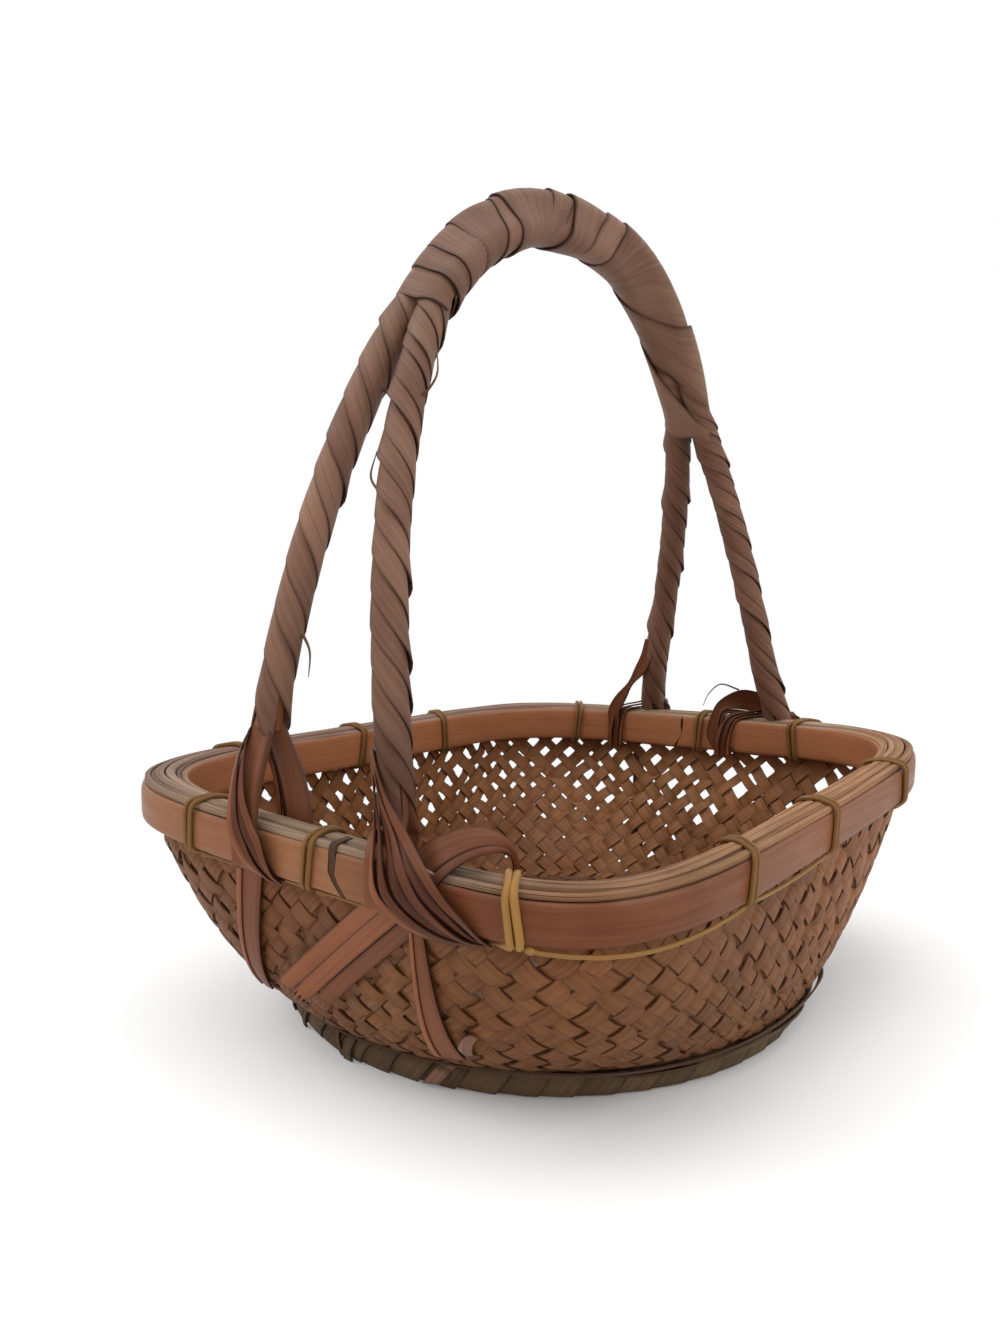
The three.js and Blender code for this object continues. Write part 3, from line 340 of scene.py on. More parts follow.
    def measure_wall(self):
        """Table of the wall's middle face by shares round it, at levels from under the base to the hoops."""
        levels = [(self.wall_level(0), self.base + 0.5, 0, inset) for inset in (9, 6, 3, 1.2)]
        for share in np.linspace(0.02, 1, 40) ** 1.6:
            height = self.base + (self.skirt - self.base) * share
            levels.append((self.wall_level(share), height, share, 0))
        for rise in np.linspace(0, self.top - 1.5 - self.skirt, 8)[1:]:
            levels.append((self.wall_level(1), self.skirt + rise, 1, 0))
        table = []
        angles = np.linspace(0, TURN, 2 * WALL_COLUMNS + 1)
        shares = np.linspace(0, 1, WALL_COLUMNS + 1)
        for (half_x, half_y, power), height, warp, inset in levels:
            half_x = half_x - self.wall / 2 - inset
            half_y = half_y - self.wall / 2 - inset
            across = np.cos(angles) / half_x
            along = np.sin(angles) / half_y
            reach = (np.abs(across) ** power + np.abs(along) ** power) ** (-1 / power)
            x = reach * np.cos(angles)
            y = reach * np.sin(angles)
            run = np.concatenate([[0], np.cumsum(np.hypot(np.diff(x), np.diff(y)))])
            x = np.interp(shares * run[-1], run, x)
            y = np.interp(shares * run[-1], run, y)
            z = height + self.warp * warp * x * y / (half_x * half_y)
            table.append((stack(x, y, z), run[-1]))
        self.wall_table = np.array([points for points, _ in table])
        self.wall_round = np.array([around for _, around in table])
        steps = np.linalg.norm(np.diff(self.wall_table, axis=0), axis=2).mean(axis=1)
        self.wall_run = np.concatenate([[0], np.cumsum(steps)])
        slopes = 2 / (self.wall_round[1:] + self.wall_round[:-1])
        self.wall_lead = np.concatenate([[0], np.cumsum(steps * slopes)])
        up = np.gradient(self.wall_table, axis=0)
        around = np.gradient(self.wall_table, axis=1)
        self.wall_normal = unit(np.cross(around, up))

    def wall_at(self, share, run, offset):
        """Point of the wall at a share of the way round and a run up it, moved out by an offset."""
        level = np.clip(np.searchsorted(self.wall_run, run) - 1, 0, len(self.wall_run) - 2)
        step = self.wall_run[level + 1] - self.wall_run[level]
        rise = ((run - self.wall_run[level]) / step)[..., None]
        place = np.mod(share, 1) * WALL_COLUMNS
        left = np.floor(place).astype(int) % WALL_COLUMNS
        part = (place - np.floor(place))[..., None]

        def blend(table):
            low = table[level, left] * (1 - part) + table[level, left + 1] * part
            high = table[level + 1, left] * (1 - part) + table[level + 1, left + 1] * part
            return low * (1 - rise) + high * rise

        return blend(self.wall_table) + unit(blend(self.wall_normal)) * np.asarray(offset)[..., None]

    def wall_face(self, x, height, side, offset):
        """Point of the outer face of the near or far wall at an x and a height."""

        def face(px, pz):
            y = side * self.b
            for _ in range(4):
                warp = self.warp * (px / self.a) * (y / self.b)
                share = np.clip((pz - self.base) / (self.skirt + warp - self.base), 0, None)
                half_x, half_y, power = self.wall_level(share)
                y = side * half_y * np.clip(1 - np.abs(px / half_x) ** power, 0, 1) ** (1 / power)
            return y

        x, height = np.broadcast_arrays(np.asarray(x, float), np.asarray(height, float))
        step = 0.01
        slope_x = (face(x + step, height) - face(x - step, height)) / (2 * step)
        slope_z = (face(x, height + step) - face(x, height - step)) / (2 * step)
        normal = unit(stack(-slope_x, np.ones_like(x), -slope_z)) * side
        return stack(x, face(x, height), height) + normal * np.asarray(offset, float)[..., None]

    # Foot.

    def foot_point(self, angle, roll, radius):
        """Point round the foot ring's middle line."""
        half_x = self.foot_x - self.foot_outside
        half_y = self.foot_y - self.foot_outside
        out = unit(np.stack([np.cos(angle) / half_x, np.sin(angle) / half_y], axis=-1))
        reach = radius * np.cos(roll)
        x = half_x * np.cos(angle) + out[..., 0] * reach + self.foot_shift[0]
        y = half_y * np.sin(angle) + out[..., 1] * reach + self.foot_shift[1]
        return stack(x, y, np.maximum(self.foot_axis + radius * np.sin(roll), 0.35))

    # Handle.

    def arch_point(self, turn):
        y = -self.half_span * signed_power(np.cos(turn), 2 / self.arch_shoulder)
        z = self.top + (self.arch_top - self.top) * signed_power(np.sin(turn), 2 / self.arch_crown)
        return stack(0, y, z)

    def arch_turn(self, height):
        return math.asin(((height - self.top) / (self.arch_top - self.top)) ** (self.arch_crown / 2))

    def arch_frame(self, turn):
        """Middle of the rod pair, its direction, the way to the outer rod, and how far that is."""
        middle = self.arch_point(turn)
        run = unit(self.arch_point(turn + 1e-3) - self.arch_point(turn - 1e-3))
        out = stack(0, -run[..., 2], run[..., 1])
        roll = math.pi * np.clip((turn - self.near_turn) / (self.far_turn - self.near_turn), 0, 1)
        to_outer = stack(-np.cos(roll), 0, 0) + out * np.sin(roll)[..., None]
        near = turn < math.pi / 2
        parting = np.where(near, self.near_parting, self.far_parting)
        spread = np.where(near, self.near_spread, self.far_spread)
        fall = np.clip((parting - middle[..., 2]) / (parting - self.top), 0, 1)
        offset = self.rod + self.clearance / 2
        return middle, run, to_outer, offset + (spread - offset) * fall

    def rim_line(self, foot, steps):
        """Points beside a leg's foot: along the rim to the leg's own hand, in from the rim, and up."""
        place = self.foot_place(foot)
        return np.array([
            self.rim_along(place, foot["hand"] * along, inset, rise) for along, inset, rise in steps
        ])

    def long_rod_line(self, side, reach=27.0):
        """Middle line of a rod, run on past both forks; the far end leans out behind the rim."""
        line = self.rod_line(side)
        steps = np.linspace(0.05, 1, 20)[:, None]
        near = line[0] + unit(line[0] - line[3]) * reach * steps
        far = line[-1] + unit(line[-1] - line[-4]) * reach * steps + np.array([0, 6.0, 0]) * steps**1.5
        return np.vstack([near[::-1], line, far])

    def rod_line(self, side):
        """Middle line of one rod between its forks: side 1 is the outer rod and -1 the inner rod."""
        start = self.arch_turn(self.fork)
        middle, _, to_outer, offset = self.arch_frame(np.linspace(start, math.pi - start, 241))
        return middle + to_outer * (side * offset)[..., None]

    def rod_point(self, line, share, roll, radius):
        """Point round a rod, at a share of its length."""
        middle = sample_line(line, share)
        run = line_run(line, share, 2e-3)
        across = unit(np.array([1.0, 0, 0]) - run * run[..., :1])
        through = np.cross(run, across)
        radius = np.asarray(radius, float)
        sideways = across * (radius * np.cos(roll))[..., None]
        return middle + sideways + through * (radius * np.sin(roll))[..., None]

    def leg_share(self, line, height, far):
        """Share of a rod's length at which one of its legs reaches a height."""
        run = np.concatenate([[0], np.cumsum(np.linalg.norm(np.diff(line, axis=0), axis=1))])
        half = len(line) // 2
        if far:
            return np.interp(height, line[:half:-1, 2], run[:half:-1]) / run[-1]
        return np.interp(height, line[:half, 2], run[:half]) / run[-1]

    def grip_point(self, turn, lap, radius):
        """Point round the rod pair, at a turn of the arch and a share of the way round."""
        middle, run, to_outer, offset = self.arch_frame(turn)
        through = np.cross(run, to_outer)
        arc = math.pi * radius
        around = np.mod(lap, 1) * (2 * arc + 4 * offset)
        bounds = [arc / 2, arc / 2 + 2 * offset, 1.5 * arc + 2 * offset, 1.5 * arc + 4 * offset]
        places = [around < bound for bound in bounds]
        level = 0 * around + math.pi / 2
        angles = [around / radius, level, (around - 2 * offset) / radius, -level]
        angle = np.select(places, angles, (around - 4 * offset) / radius)
        centres = [offset, offset - (around - bounds[0]), -offset, -offset + (around - bounds[2])]
        centre = np.select(places, centres, offset)
        reach = centre + radius * np.cos(angle)
        return middle + to_outer * reach[..., None] + through * (radius * np.sin(angle))[..., None]


# Modelling steps.


def start_clean():
    if bpy.context.object and bpy.context.object.mode != "OBJECT":
        bpy.ops.object.mode_set(mode="OBJECT")
    bpy.ops.object.select_all(action="DESELECT")


def lay_strip(name, columns, rows, place, size, tone=0.5):
    """Adds a grid and lays it by a rule from shares along and across to millimetres.

    The strip's own map runs in metres along and across its fibres, and two attributes hold its tone and how
    near a point is to its edge.
    """
    start_clean()
    bpy.ops.mesh.primitive_grid_add(x_subdivisions=columns, y_subdivisions=rows, size=1)
    strip = bpy.context.object
    strip.name = name
    mesh = strip.data
    mesh.name = name
    flat = np.empty(len(mesh.vertices) * 3, np.float32)
    mesh.vertices.foreach_get("co", flat)
    along, across = flat.reshape(-1, 3)[:, :2].T.astype(float) + 0.5
    points = place(along, across) * MM
    mesh.vertices.foreach_set("co", points.astype(np.float32).ravel())
    corners = np.empty(len(mesh.loops), np.int32)
    mesh.loops.foreach_get("vertex_index", corners)
    shift = 0.37 if callable(tone) else tone
    fibres = np.stack([along * size[0] * MM + 7 * shift, across * size[1] * MM + 3 * shift], axis=-1)
    mesh.uv_layers[0].data.foreach_set("uv", fibres[corners].astype(np.float32).ravel())
    own_tone = tone(along) if callable(tone) else np.full(len(along), tone)
    for label, values in (("tone", own_tone), ("edge", np.abs(2 * across - 1))):
        attribute = mesh.attributes.new(label, "FLOAT", "POINT")
        attribute.data.foreach_set("value", values.astype(np.float32))
    mesh.update()
    return strip


def clear_edges(piece):
    """Leaves a round piece without the shade that flat strips have along their edges."""
    values = np.zeros(len(piece.data.vertices), np.float32)
    piece.data.attributes["edge"].data.foreach_set("value", values)


def make_active(piece):
    start_clean()
    piece.select_set(True)
    bpy.context.view_layer.objects.active = piece


def join_strips(name, strips):
    """Joins strips into one piece."""
    make_active(strips[0])
    for strip in strips:
        strip.select_set(True)
    if len(strips) > 1:
        bpy.ops.object.join()
    piece = bpy.context.object
    piece.name = name
    piece.data.name = name
    return piece


def apply_modifier(piece, kind, **values):
    make_active(piece)
    modifier = piece.modifiers.new(kind.title(), kind)
    for key, value in values.items():
        setattr(modifier, key, value)
    bpy.ops.object.modifier_apply(modifier=modifier.name)


def thicken(piece, thickness, bevel=0.0):
    """Gives flat strips their thickness, and rounds their edges."""
    apply_modifier(piece, "SOLIDIFY", thickness=thickness * MM, offset=0.0, use_quality_normals=True)
    if bevel:
        apply_modifier(
            piece, "BEVEL", width=bevel * MM, segments=2, limit_method="ANGLE", angle_limit=math.radians(50)
        )


def close_tube(piece):
    """Welds the long seam of rolled grids and caps their ends."""
    make_active(piece)
    bpy.ops.object.mode_set(mode="EDIT")
    bpy.ops.mesh.select_all(action="SELECT")
    bpy.ops.mesh.remove_doubles(threshold=1e-6)
    bpy.ops.mesh.select_all(action="DESELECT")
    bpy.ops.mesh.select_mode(type="EDGE")
    bpy.ops.mesh.select_non_manifold(extend=False, use_wire=False, use_multi_face=False, use_verts=False)
    bpy.ops.mesh.fill_holes(sides=0)
    bpy.ops.mesh.select_mode(type="VERT")
    bpy.ops.mesh.select_all(action="SELECT")
    bpy.ops.mesh.fill_holes(sides=0)
    bpy.ops.mesh.normals_make_consistent(inside=False)
    bpy.ops.object.mode_set(mode="OBJECT")


def lay_tube(name, points, radius, sides, size, tone=0.5):
    """Adds a round strand along a line of points; the radius may change along it."""
    points = np.asarray(points, float)
    count = len(points)
    radius = np.broadcast_to(np.asarray(radius, float), (count,))
    run = unit(np.gradient(points, axis=0))
    side = np.zeros_like(points)
    across = np.array([0.31, 0.52, 0.79])
    for k in range(count):
        across = unit(across - run[k] * np.dot(across, run[k]))
        side[k] = across
    through = np.cross(run, side)

    def place(along, around):
        index = np.rint(along * (count - 1)).astype(int)
        angle = (around * TURN)[:, None]
        out = side[index] * np.cos(angle) + through[index] * np.sin(angle)
        return points[index] + radius[index][:, None] * out

    tube = lay_strip(name, count - 1, sides, place, size, tone)
    clear_edges(tube)
    return tube


def ribbon_rule(line, across_line, width, lift=0.0):
    """Rule that lays a strip along a line of points with a given way across at each."""
    line = np.asarray(line, float)
    across_line = np.asarray(across_line, float)

    def place(along, across):
        middle = sample_line(line, along)
        sideways = unit(sample_line(across_line, along))
        breadth = np.asarray(width(along) if callable(width) else width)
        reach = (across - 0.5) * breadth
        run = line_run(line, along, 0.01)
        through = np.cross(run, sideways)
        crown = lift * (1 - (2 * across - 1) ** 2)
        return middle + sideways * reach[..., None] + through * np.asarray(crown)[..., None]

    return place


def band_rule(front, back, share=(0.0, 1.0), crown=0.0):
    """Rule that lays a strip between two edges, or on a share of the room between them."""

    def place(along, across):
        part = share[0] + (share[1] - share[0]) * across
        low = sample_line(front, along, False)
        high = sample_line(back, along, False)
        ahead = np.clip(along + 0.01, 0, 1)
        behind = np.clip(along - 0.01, 0, 1)
        run = sample_line(front, ahead, False) - sample_line(front, behind, False)
        run = run + sample_line(back, ahead, False) - sample_line(back, behind, False)
        through = unit(np.cross(run, high - low))
        lift = crown * (1 - (2 * across - 1) ** 2)
        return low + (high - low) * part[..., None] + through * lift[..., None]

    return place


def above_floor(rule):
    """The same rule, kept clear of the floor."""
    return lambda along, across: np.maximum(rule(along, across), [-1e3, -1e3, 0.6])


def finish_piece(piece, material, slot, *nodes, angle=40):
    """Smooths a piece, gives it its material and fixes it to the basket's body."""
    make_active(piece)
    bpy.ops.object.shade_smooth_by_angle(angle=math.radians(angle))
    piece.data.materials.clear()
    piece.data.materials.append(material)
    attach(piece, "root")
    if nodes:
        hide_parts(*nodes)
    return piece


# Materials.


def node_group(name, inputs, outputs):
    """A new shader node group with named sockets, with its input node and its output node."""
    group = bpy.data.node_groups.new(name, "ShaderNodeTree")
    for label, kind, default in inputs:
        socket = group.interface.new_socket(label, in_out="INPUT", socket_type=kind)
        if default is not None:
            socket.default_value = default
    for label, kind in outputs:
        group.interface.new_socket(label, in_out="OUTPUT", socket_type=kind)
    return group, group.nodes.new("NodeGroupInput"), group.nodes.new("NodeGroupOutput")


def wire(tree, source, target):
    tree.links.new(source, target)


def maths(tree, operation, first, second=None, clamp=False):
    node = tree.nodes.new("ShaderNodeMath")
    node.operation = operation
    node.use_clamp = clamp
    for socket, value in zip(node.inputs, (first, second)):
        if isinstance(value, (int, float)):
            socket.default_value = value
        elif value is not None:
            wire(tree, value, socket)
    return node.outputs[0]


def mix_colours(tree, share, first, second, blend="MIX"):
    node = tree.nodes.new("ShaderNodeMix")
    node.data_type = "RGBA"
    node.blend_type = blend
    for socket, value in zip((node.inputs[0], node.inputs[6], node.inputs[7]), (share, first, second)):
        if isinstance(value, (int, float, tuple)):
            socket.default_value = value
        else:
            wire(tree, value, socket)
    return node.outputs[2]


def remap(tree, value, low, high, new_low=0.0, new_high=1.0):
    node = tree.nodes.new("ShaderNodeMapRange")
    wire(tree, value, node.inputs[0])
    for socket, number in zip(node.inputs[1:5], (low, high, new_low, new_high)):
        socket.default_value = number
    return node.outputs[0]


def noise(tree, vector, scale, detail=3.0, roughness=0.6):
    node = tree.nodes.new("ShaderNodeTexNoise")
    wire(tree, vector, node.inputs["Vector"])
    node.inputs["Scale"].default_value = scale
    node.inputs["Detail"].default_value = detail
    node.inputs["Roughness"].default_value = roughness
    return node.outputs["Fac"]


def stretch(tree, vector, factors):
    node = tree.nodes.new("ShaderNodeVectorMath")
    node.operation = "MULTIPLY"
    wire(tree, vector, node.inputs[0])
    node.inputs[1].default_value = factors
    return node.outputs[0]


def fibre_group():
    """Fibres along a strip: broad streaks and dark cracks for the colour, and fine lines for the relief."""
    group, given, result = node_group(
        "Bamboo fibres",
        [("Strip", "NodeSocketVector", None)],
        [("Streaks", "NodeSocketFloat"), ("Lines", "NodeSocketFloat"), ("Cracks", "NodeSocketFloat")],
    )
    broad = noise(group, stretch(group, given.outputs["Strip"], (22, 900, 0)), 1.0, 4.0, 0.62)
    fine = noise(group, stretch(group, given.outputs["Strip"], (40, 3400, 0)), 1.0, 3.0, 0.7)
    sparse = noise(group, stretch(group, given.outputs["Strip"], (14, 1300, 0)), 1.0, 2.0, 0.5)
    streaks = maths(group, "ADD", maths(group, "MULTIPLY", broad, 0.7), maths(group, "MULTIPLY", fine, 0.3))
    wire(group, remap(group, streaks, 0.34, 0.66), result.inputs["Streaks"])
    wire(group, remap(group, fine, 0.3, 0.7), result.inputs["Lines"])
    wire(group, remap(group, sparse, 0.58, 0.68), result.inputs["Cracks"])
    return group


def tint_group():
    """Colour of a strip from its fibres, its own tone, its edges and blotches of age."""
    group, given, result = node_group(
        "Bamboo tint",
        [
            ("Streaks", "NodeSocketFloat", 0.5),
            ("Cracks", "NodeSocketFloat", 0.0),
            ("Tone", "NodeSocketFloat", 0.5),
            ("Edge", "NodeSocketFloat", 0.0),
            ("Edge shade", "NodeSocketFloat", 0.5),
            ("Crack shade", "NodeSocketFloat", 0.4),
            ("Streak share", "NodeSocketFloat", 0.48),
            ("Tone share", "NodeSocketFloat", 0.34),
            ("Age share", "NodeSocketFloat", 0.24),
            ("Light", "NodeSocketColor", (0.3, 0.13, 0.06, 1)),
            ("Dark", "NodeSocketColor", (0.1, 0.04, 0.02, 1)),
        ],
        [("Color", "NodeSocketColor")],
    )
    place = group.nodes.new("ShaderNodeTexCoord").outputs["Object"]
    age = remap(group, noise(group, place, 28.0, 3.0, 0.55), 0.32, 0.68)
    share = maths(group, "MULTIPLY", given.outputs["Streaks"], given.outputs["Streak share"])
    own = maths(group, "MULTIPLY", given.outputs["Tone"], given.outputs["Tone share"])
    share = maths(group, "ADD", share, own)
    old = maths(group, "MULTIPLY", age, given.outputs["Age share"])
    share = maths(group, "ADD", share, old, clamp=True)
    base = mix_colours(group, share, given.outputs["Dark"], given.outputs["Light"])
    faded = remap(group, noise(group, place, 17.0, 2.0, 0.5), 0.42, 0.66, 0, 0.6)
    greenish = mix_colours(group, 1.0, base, (0.93, 1.06, 1.0, 1), "MULTIPLY")
    base = mix_colours(group, faded, base, greenish)
    edge = maths(group, "POWER", given.outputs["Edge"], 9)
    shade = maths(group, "MULTIPLY", edge, given.outputs["Edge shade"])
    cracks = maths(group, "MULTIPLY", given.outputs["Cracks"], given.outputs["Crack shade"])
    shade = maths(group, "MAXIMUM", shade, cracks)
    dark = mix_colours(group, 1.0, given.outputs["Dark"], (0.35, 0.3, 0.3, 1), "MULTIPLY")
    wire(group, mix_colours(group, shade, base, dark), result.inputs["Color"])
    return group


def dust_group():
    """Pale dust and bleaching on faces that look up."""
    group, given, result = node_group(
        "Top dust",
        [
            ("Color", "NodeSocketColor", (0.3, 0.2, 0.1, 1)),
            ("Amount", "NodeSocketFloat", 0.3),
            ("Dust", "NodeSocketColor", (0.42, 0.35, 0.29, 1)),
        ],
        [("Color", "NodeSocketColor")],
    )
    split = group.nodes.new("ShaderNodeSeparateXYZ")
    wire(group, group.nodes.new("ShaderNodeNewGeometry").outputs["Normal"], split.inputs[0])
    place = group.nodes.new("ShaderNodeTexCoord").outputs["Object"]
    patch = remap(group, noise(group, place, 55.0, 4.0, 0.65), 0.3, 0.75)
    up = remap(group, split.outputs["Z"], 0.15, 1.0)
    share = maths(group, "MULTIPLY", up, patch)
    share = maths(group, "MULTIPLY", share, given.outputs["Amount"], clamp=True)
    dusty = mix_colours(group, share, given.outputs["Color"], given.outputs["Dust"])
    wire(group, dusty, result.inputs["Color"])
    return group


def use_group(tree, maker, label):
    """Places a shared node group in a material, and makes the group the first time."""
    node = tree.nodes.new("ShaderNodeGroup")
    node.node_tree = bpy.data.node_groups.get(label) or maker()
    return node


def bamboo(
    name, light, dark, edge_shade=0.6, dust=0.12, roughness=(0.42, 0.66), relief=0.35,
    shares=(0.48, 0.34, 0.24), cracks=0.4,
):
    """Material of split bamboo whose fibres follow the strip's own map."""
    if name in bpy.data.materials:
        return bpy.data.materials[name]
    material = bpy.data.materials.new(name)
    material.use_nodes = True
    tree = material.node_tree
    shader = tree.nodes["Principled BSDF"]
    strip = tree.nodes.new("ShaderNodeUVMap")
    strip.uv_map = "UVMap"
    fibres = use_group(tree, fibre_group, "Bamboo fibres")
    wire(tree, strip.outputs["UV"], fibres.inputs["Strip"])
    tint = use_group(tree, tint_group, "Bamboo tint")
    for label in ("Streaks", "Cracks"):
        wire(tree, fibres.outputs[label], tint.inputs[label])
    for label in ("tone", "edge"):
        attribute = tree.nodes.new("ShaderNodeAttribute")
        attribute.attribute_name = label
        wire(tree, attribute.outputs["Fac"], tint.inputs[label.title()])
    tint.inputs["Edge shade"].default_value = edge_shade
    tint.inputs["Crack shade"].default_value = cracks
    for label, share in zip(("Streak share", "Tone share", "Age share"), shares):
        tint.inputs[label].default_value = share
    tint.inputs["Light"].default_value = (*light, 1)
    tint.inputs["Dark"].default_value = (*dark, 1)
    layer = use_group(tree, dust_group, "Top dust")
    layer.inputs["Amount"].default_value = dust
    wire(tree, tint.outputs["Color"], layer.inputs["Color"])
    wire(tree, layer.outputs["Color"], shader.inputs["Base Color"])
    polish = remap(tree, fibres.outputs["Streaks"], 0, 1, roughness[1], roughness[0])
    wire(tree, polish, shader.inputs["Roughness"])
    bump = tree.nodes.new("ShaderNodeBump")
    bump.inputs["Strength"].default_value = relief
    bump.inputs["Distance"].default_value = 0.0004
    wire(tree, fibres.outputs["Lines"], bump.inputs["Height"])
    wire(tree, bump.outputs["Normal"], shader.inputs["Normal"])
    shader.inputs["Specular IOR Level"].default_value = 0.16
    return material


def place_on_basket(tree):
    """The x, y and z of a point of a piece, in metres."""
    place = tree.nodes.new("ShaderNodeSeparateXYZ")
    wire(tree, tree.nodes.new("ShaderNodeTexCoord").outputs["Object"], place.inputs[0])
    return [place.outputs[axis] for axis in "XYZ"]


def stain_and_painted_light(material, share, tint):
    """Multiplies a material's colour by a tint, by a share that varies from place to place: a real stain on
    the rim splints, painted light on the weaving strips.
    """
    tree = material.node_tree
    socket = tree.nodes["Principled BSDF"].inputs["Base Color"]
    tinted = mix_colours(tree, share, socket.links[0].from_socket, (*tint, 1), "MULTIPLY")
    wire(tree, tinted, socket)


def weave_material(colours):
    """Weaving strips, lightened towards the top of the far and left walls as painted light for the light
    that falls inside the bowl.
    """
    name = "Weaving strip"
    if name in bpy.data.materials:
        return bpy.data.materials[name]
    material = bamboo(name, colours.weave_light, colours.weave_dark, edge_shade=0.55, dust=0.10)
    tree = material.node_tree
    x, y, z = place_on_basket(tree)
    # Painted light: the far and left walls grow paler and pinker upwards, for light that falls inside the
    # bowl.
    side = maths(tree, "MAXIMUM", remap(tree, y, -0.02, 0.05), remap(tree, x, -0.040, -0.080))
    stain_and_painted_light(material, maths(tree, "MULTIPLY", side, remap(tree, z, 0.012, 0.036)), (1.36, 1.47, 1.76))
    return material


def splint_material(colours):
    """Bleached splints on top of the rim, stained dark at the left end and warm at the right end."""
    name = "Rim splint"
    if name in bpy.data.materials:
        return bpy.data.materials[name]
    material = bamboo(
        name, colours.splint_light, colours.splint_dark, edge_shade=0.0, dust=0.16,
        roughness=(0.5, 0.75), relief=0.6, shares=(0.46, 0.5, 0.2), cracks=0.75,
    )
    tree = material.node_tree
    x = place_on_basket(tree)[0]
    stain_and_painted_light(material, remap(tree, x, -0.040, -0.075), (0.74, 0.65, 0.72))
    stain_and_painted_light(material, remap(tree, x, 0.048, 0.070), (1.02, 0.79, 0.58))
    return material


def wrap_material(colours):
    return bamboo(
        "Handle strip", colours.wrap_light, colours.wrap_dark, edge_shade=0.8, dust=0.1,
        roughness=(0.36, 0.58), relief=0.3, shares=(0.32, 0.44, 0.24), cracks=0.3,
    )


def lash_material(colours):
    return bamboo(
        "Lashing strip", colours.lash_light, colours.lash_dark, edge_shade=0.9, dust=0.08,
        roughness=(0.34, 0.52), relief=0.25, shares=(0.2, 0.5, 0.2), cracks=0.2,
    )


# Pieces.


class BasketOperator:
    """What every piece of the basket needs to be made."""

    bl_options = {"REGISTER", "UNDO"}

    def execute(self, context):
        shape = BasketShape(context.scene.basket_sizes)
        self.make(shape, context.scene.basket_sizes, context.scene.basket_colours)
        return {"FINISHED"}


def over_under(cycle):
    """Height of a strip that goes over one and under one, from 1 to -1."""
    return signed_power(np.cos(math.pi * cycle), 0.42)


class BASKET_OT_wall(BasketOperator, bpy.types.Operator):
    """Weave the wall of the bowl from strips that slant both ways"""

    bl_idname = "basket.wall"
    bl_label = "Woven Wall"

    def make(self, shape, sizes, colours):
        shape.measure_wall()
        count = sizes.weave_count
        wide = sizes.weave_width / MM
        amount = sizes.weave_rise / MM
        chance = np.random.default_rng(11)
        top = shape.wall_run[-1] - 2
        bottom = 1.5
        for name, way in (("weave_rising", 1), ("weave_falling", -1)):
            strips = []
            for n in range(count):
                drift = chance.normal(0, 0.12)
                slack = chance.normal(1, 0.12)
                relief = chance.uniform(0.85, 1.25)
                wave = chance.uniform(0, TURN)

                def place(along, across):
                    run = bottom + along * (top - bottom)
                    lead = np.interp(run, shape.wall_run, shape.wall_lead)
                    around = np.interp(run, shape.wall_run, shape.wall_round)
                    middle = (n + drift + 0.08 * np.sin(5 * along + wave)) / count + way * lead
                    pitch = around / count / math.sqrt(2)
                    far = smooth(0.75 + 0.75 * np.cos(TURN * (middle - 0.4))) ** 1.5
                    tight = 1 - far * smooth((along - 0.3) / 0.4)
                    filled = wide * slack + np.maximum(pitch * 0.93 - wide, 0) * tight
                    breadth = np.minimum(filled, pitch * 0.985)
                    reach = (across - 0.5) * breadth
                    share = middle + reach / math.sqrt(2) / around
                    level = run - way * reach / math.sqrt(2)
                    lift = way * amount * relief * over_under(2 * count * lead)
                    crown = 0.12 * (1 - (2 * across - 1) ** 2)
                    return shape.wall_at(share, level, lift + crown)

                own = chance.uniform(0, 1)

                # Each strip's own tone, raised towards the far wall: painted light for light that falls on
                # the inside of the far wall.
                def tone(along):
                    lead = np.interp(bottom + along * (top - bottom), shape.wall_run, shape.wall_lead)
                    far = 0.5 + 0.5 * np.cos(TURN * (n / count + way * lead - 0.3))
                    return own + 0.5 * far - 0.22

                strips.append(lay_strip(name, 128, 3, place, (110, wide), tone))
            piece = join_strips(name, strips)
            thicken(piece, 0.55)
            finish_piece(piece, weave_material(colours), "weave", "woven_body")


class BASKET_OT_base(BasketOperator, bpy.types.Operator):
    """Weave the flat base of the bowl"""

    bl_idname = "basket.base"
    bl_label = "Woven Base"

    def make(self, shape, sizes, colours):
        gap = 0.35
        pitch = sizes.weave_width / MM + gap
        radius = (shape.foot_x + shape.foot_y) / 2 - 1.2
        count = 2 * int(radius / pitch)
        chance = np.random.default_rng(12)
        strips = []
        for way in (0, 1):
            for n in range(count):
                centre = (n - (count - 1) / 2) * pitch

                def place(along, across):
                    offset = centre + (across - 0.5) * (pitch - gap)
                    reach = np.sqrt(np.maximum(radius**2 - offset**2, 0)) * (2 * along - 1)
                    crossing = reach / pitch + (count - 1) / 2
                    rise = shape.base + 1.1 + (0.5 if way else -0.5) * over_under(crossing - n)
                    forward = (reach - offset, reach + offset) if way else (reach + offset, offset - reach)
                    return stack(forward[0] / math.sqrt(2), forward[1] / math.sqrt(2), rise)

                strips.append(lay_strip("base_mat", 72, 1, place, (2 * radius, pitch), chance.uniform(0, 1)))
        piece = join_strips("base_mat", strips)
        thicken(piece, 0.6)
        finish_piece(piece, weave_material(colours), "weave", "woven_body")


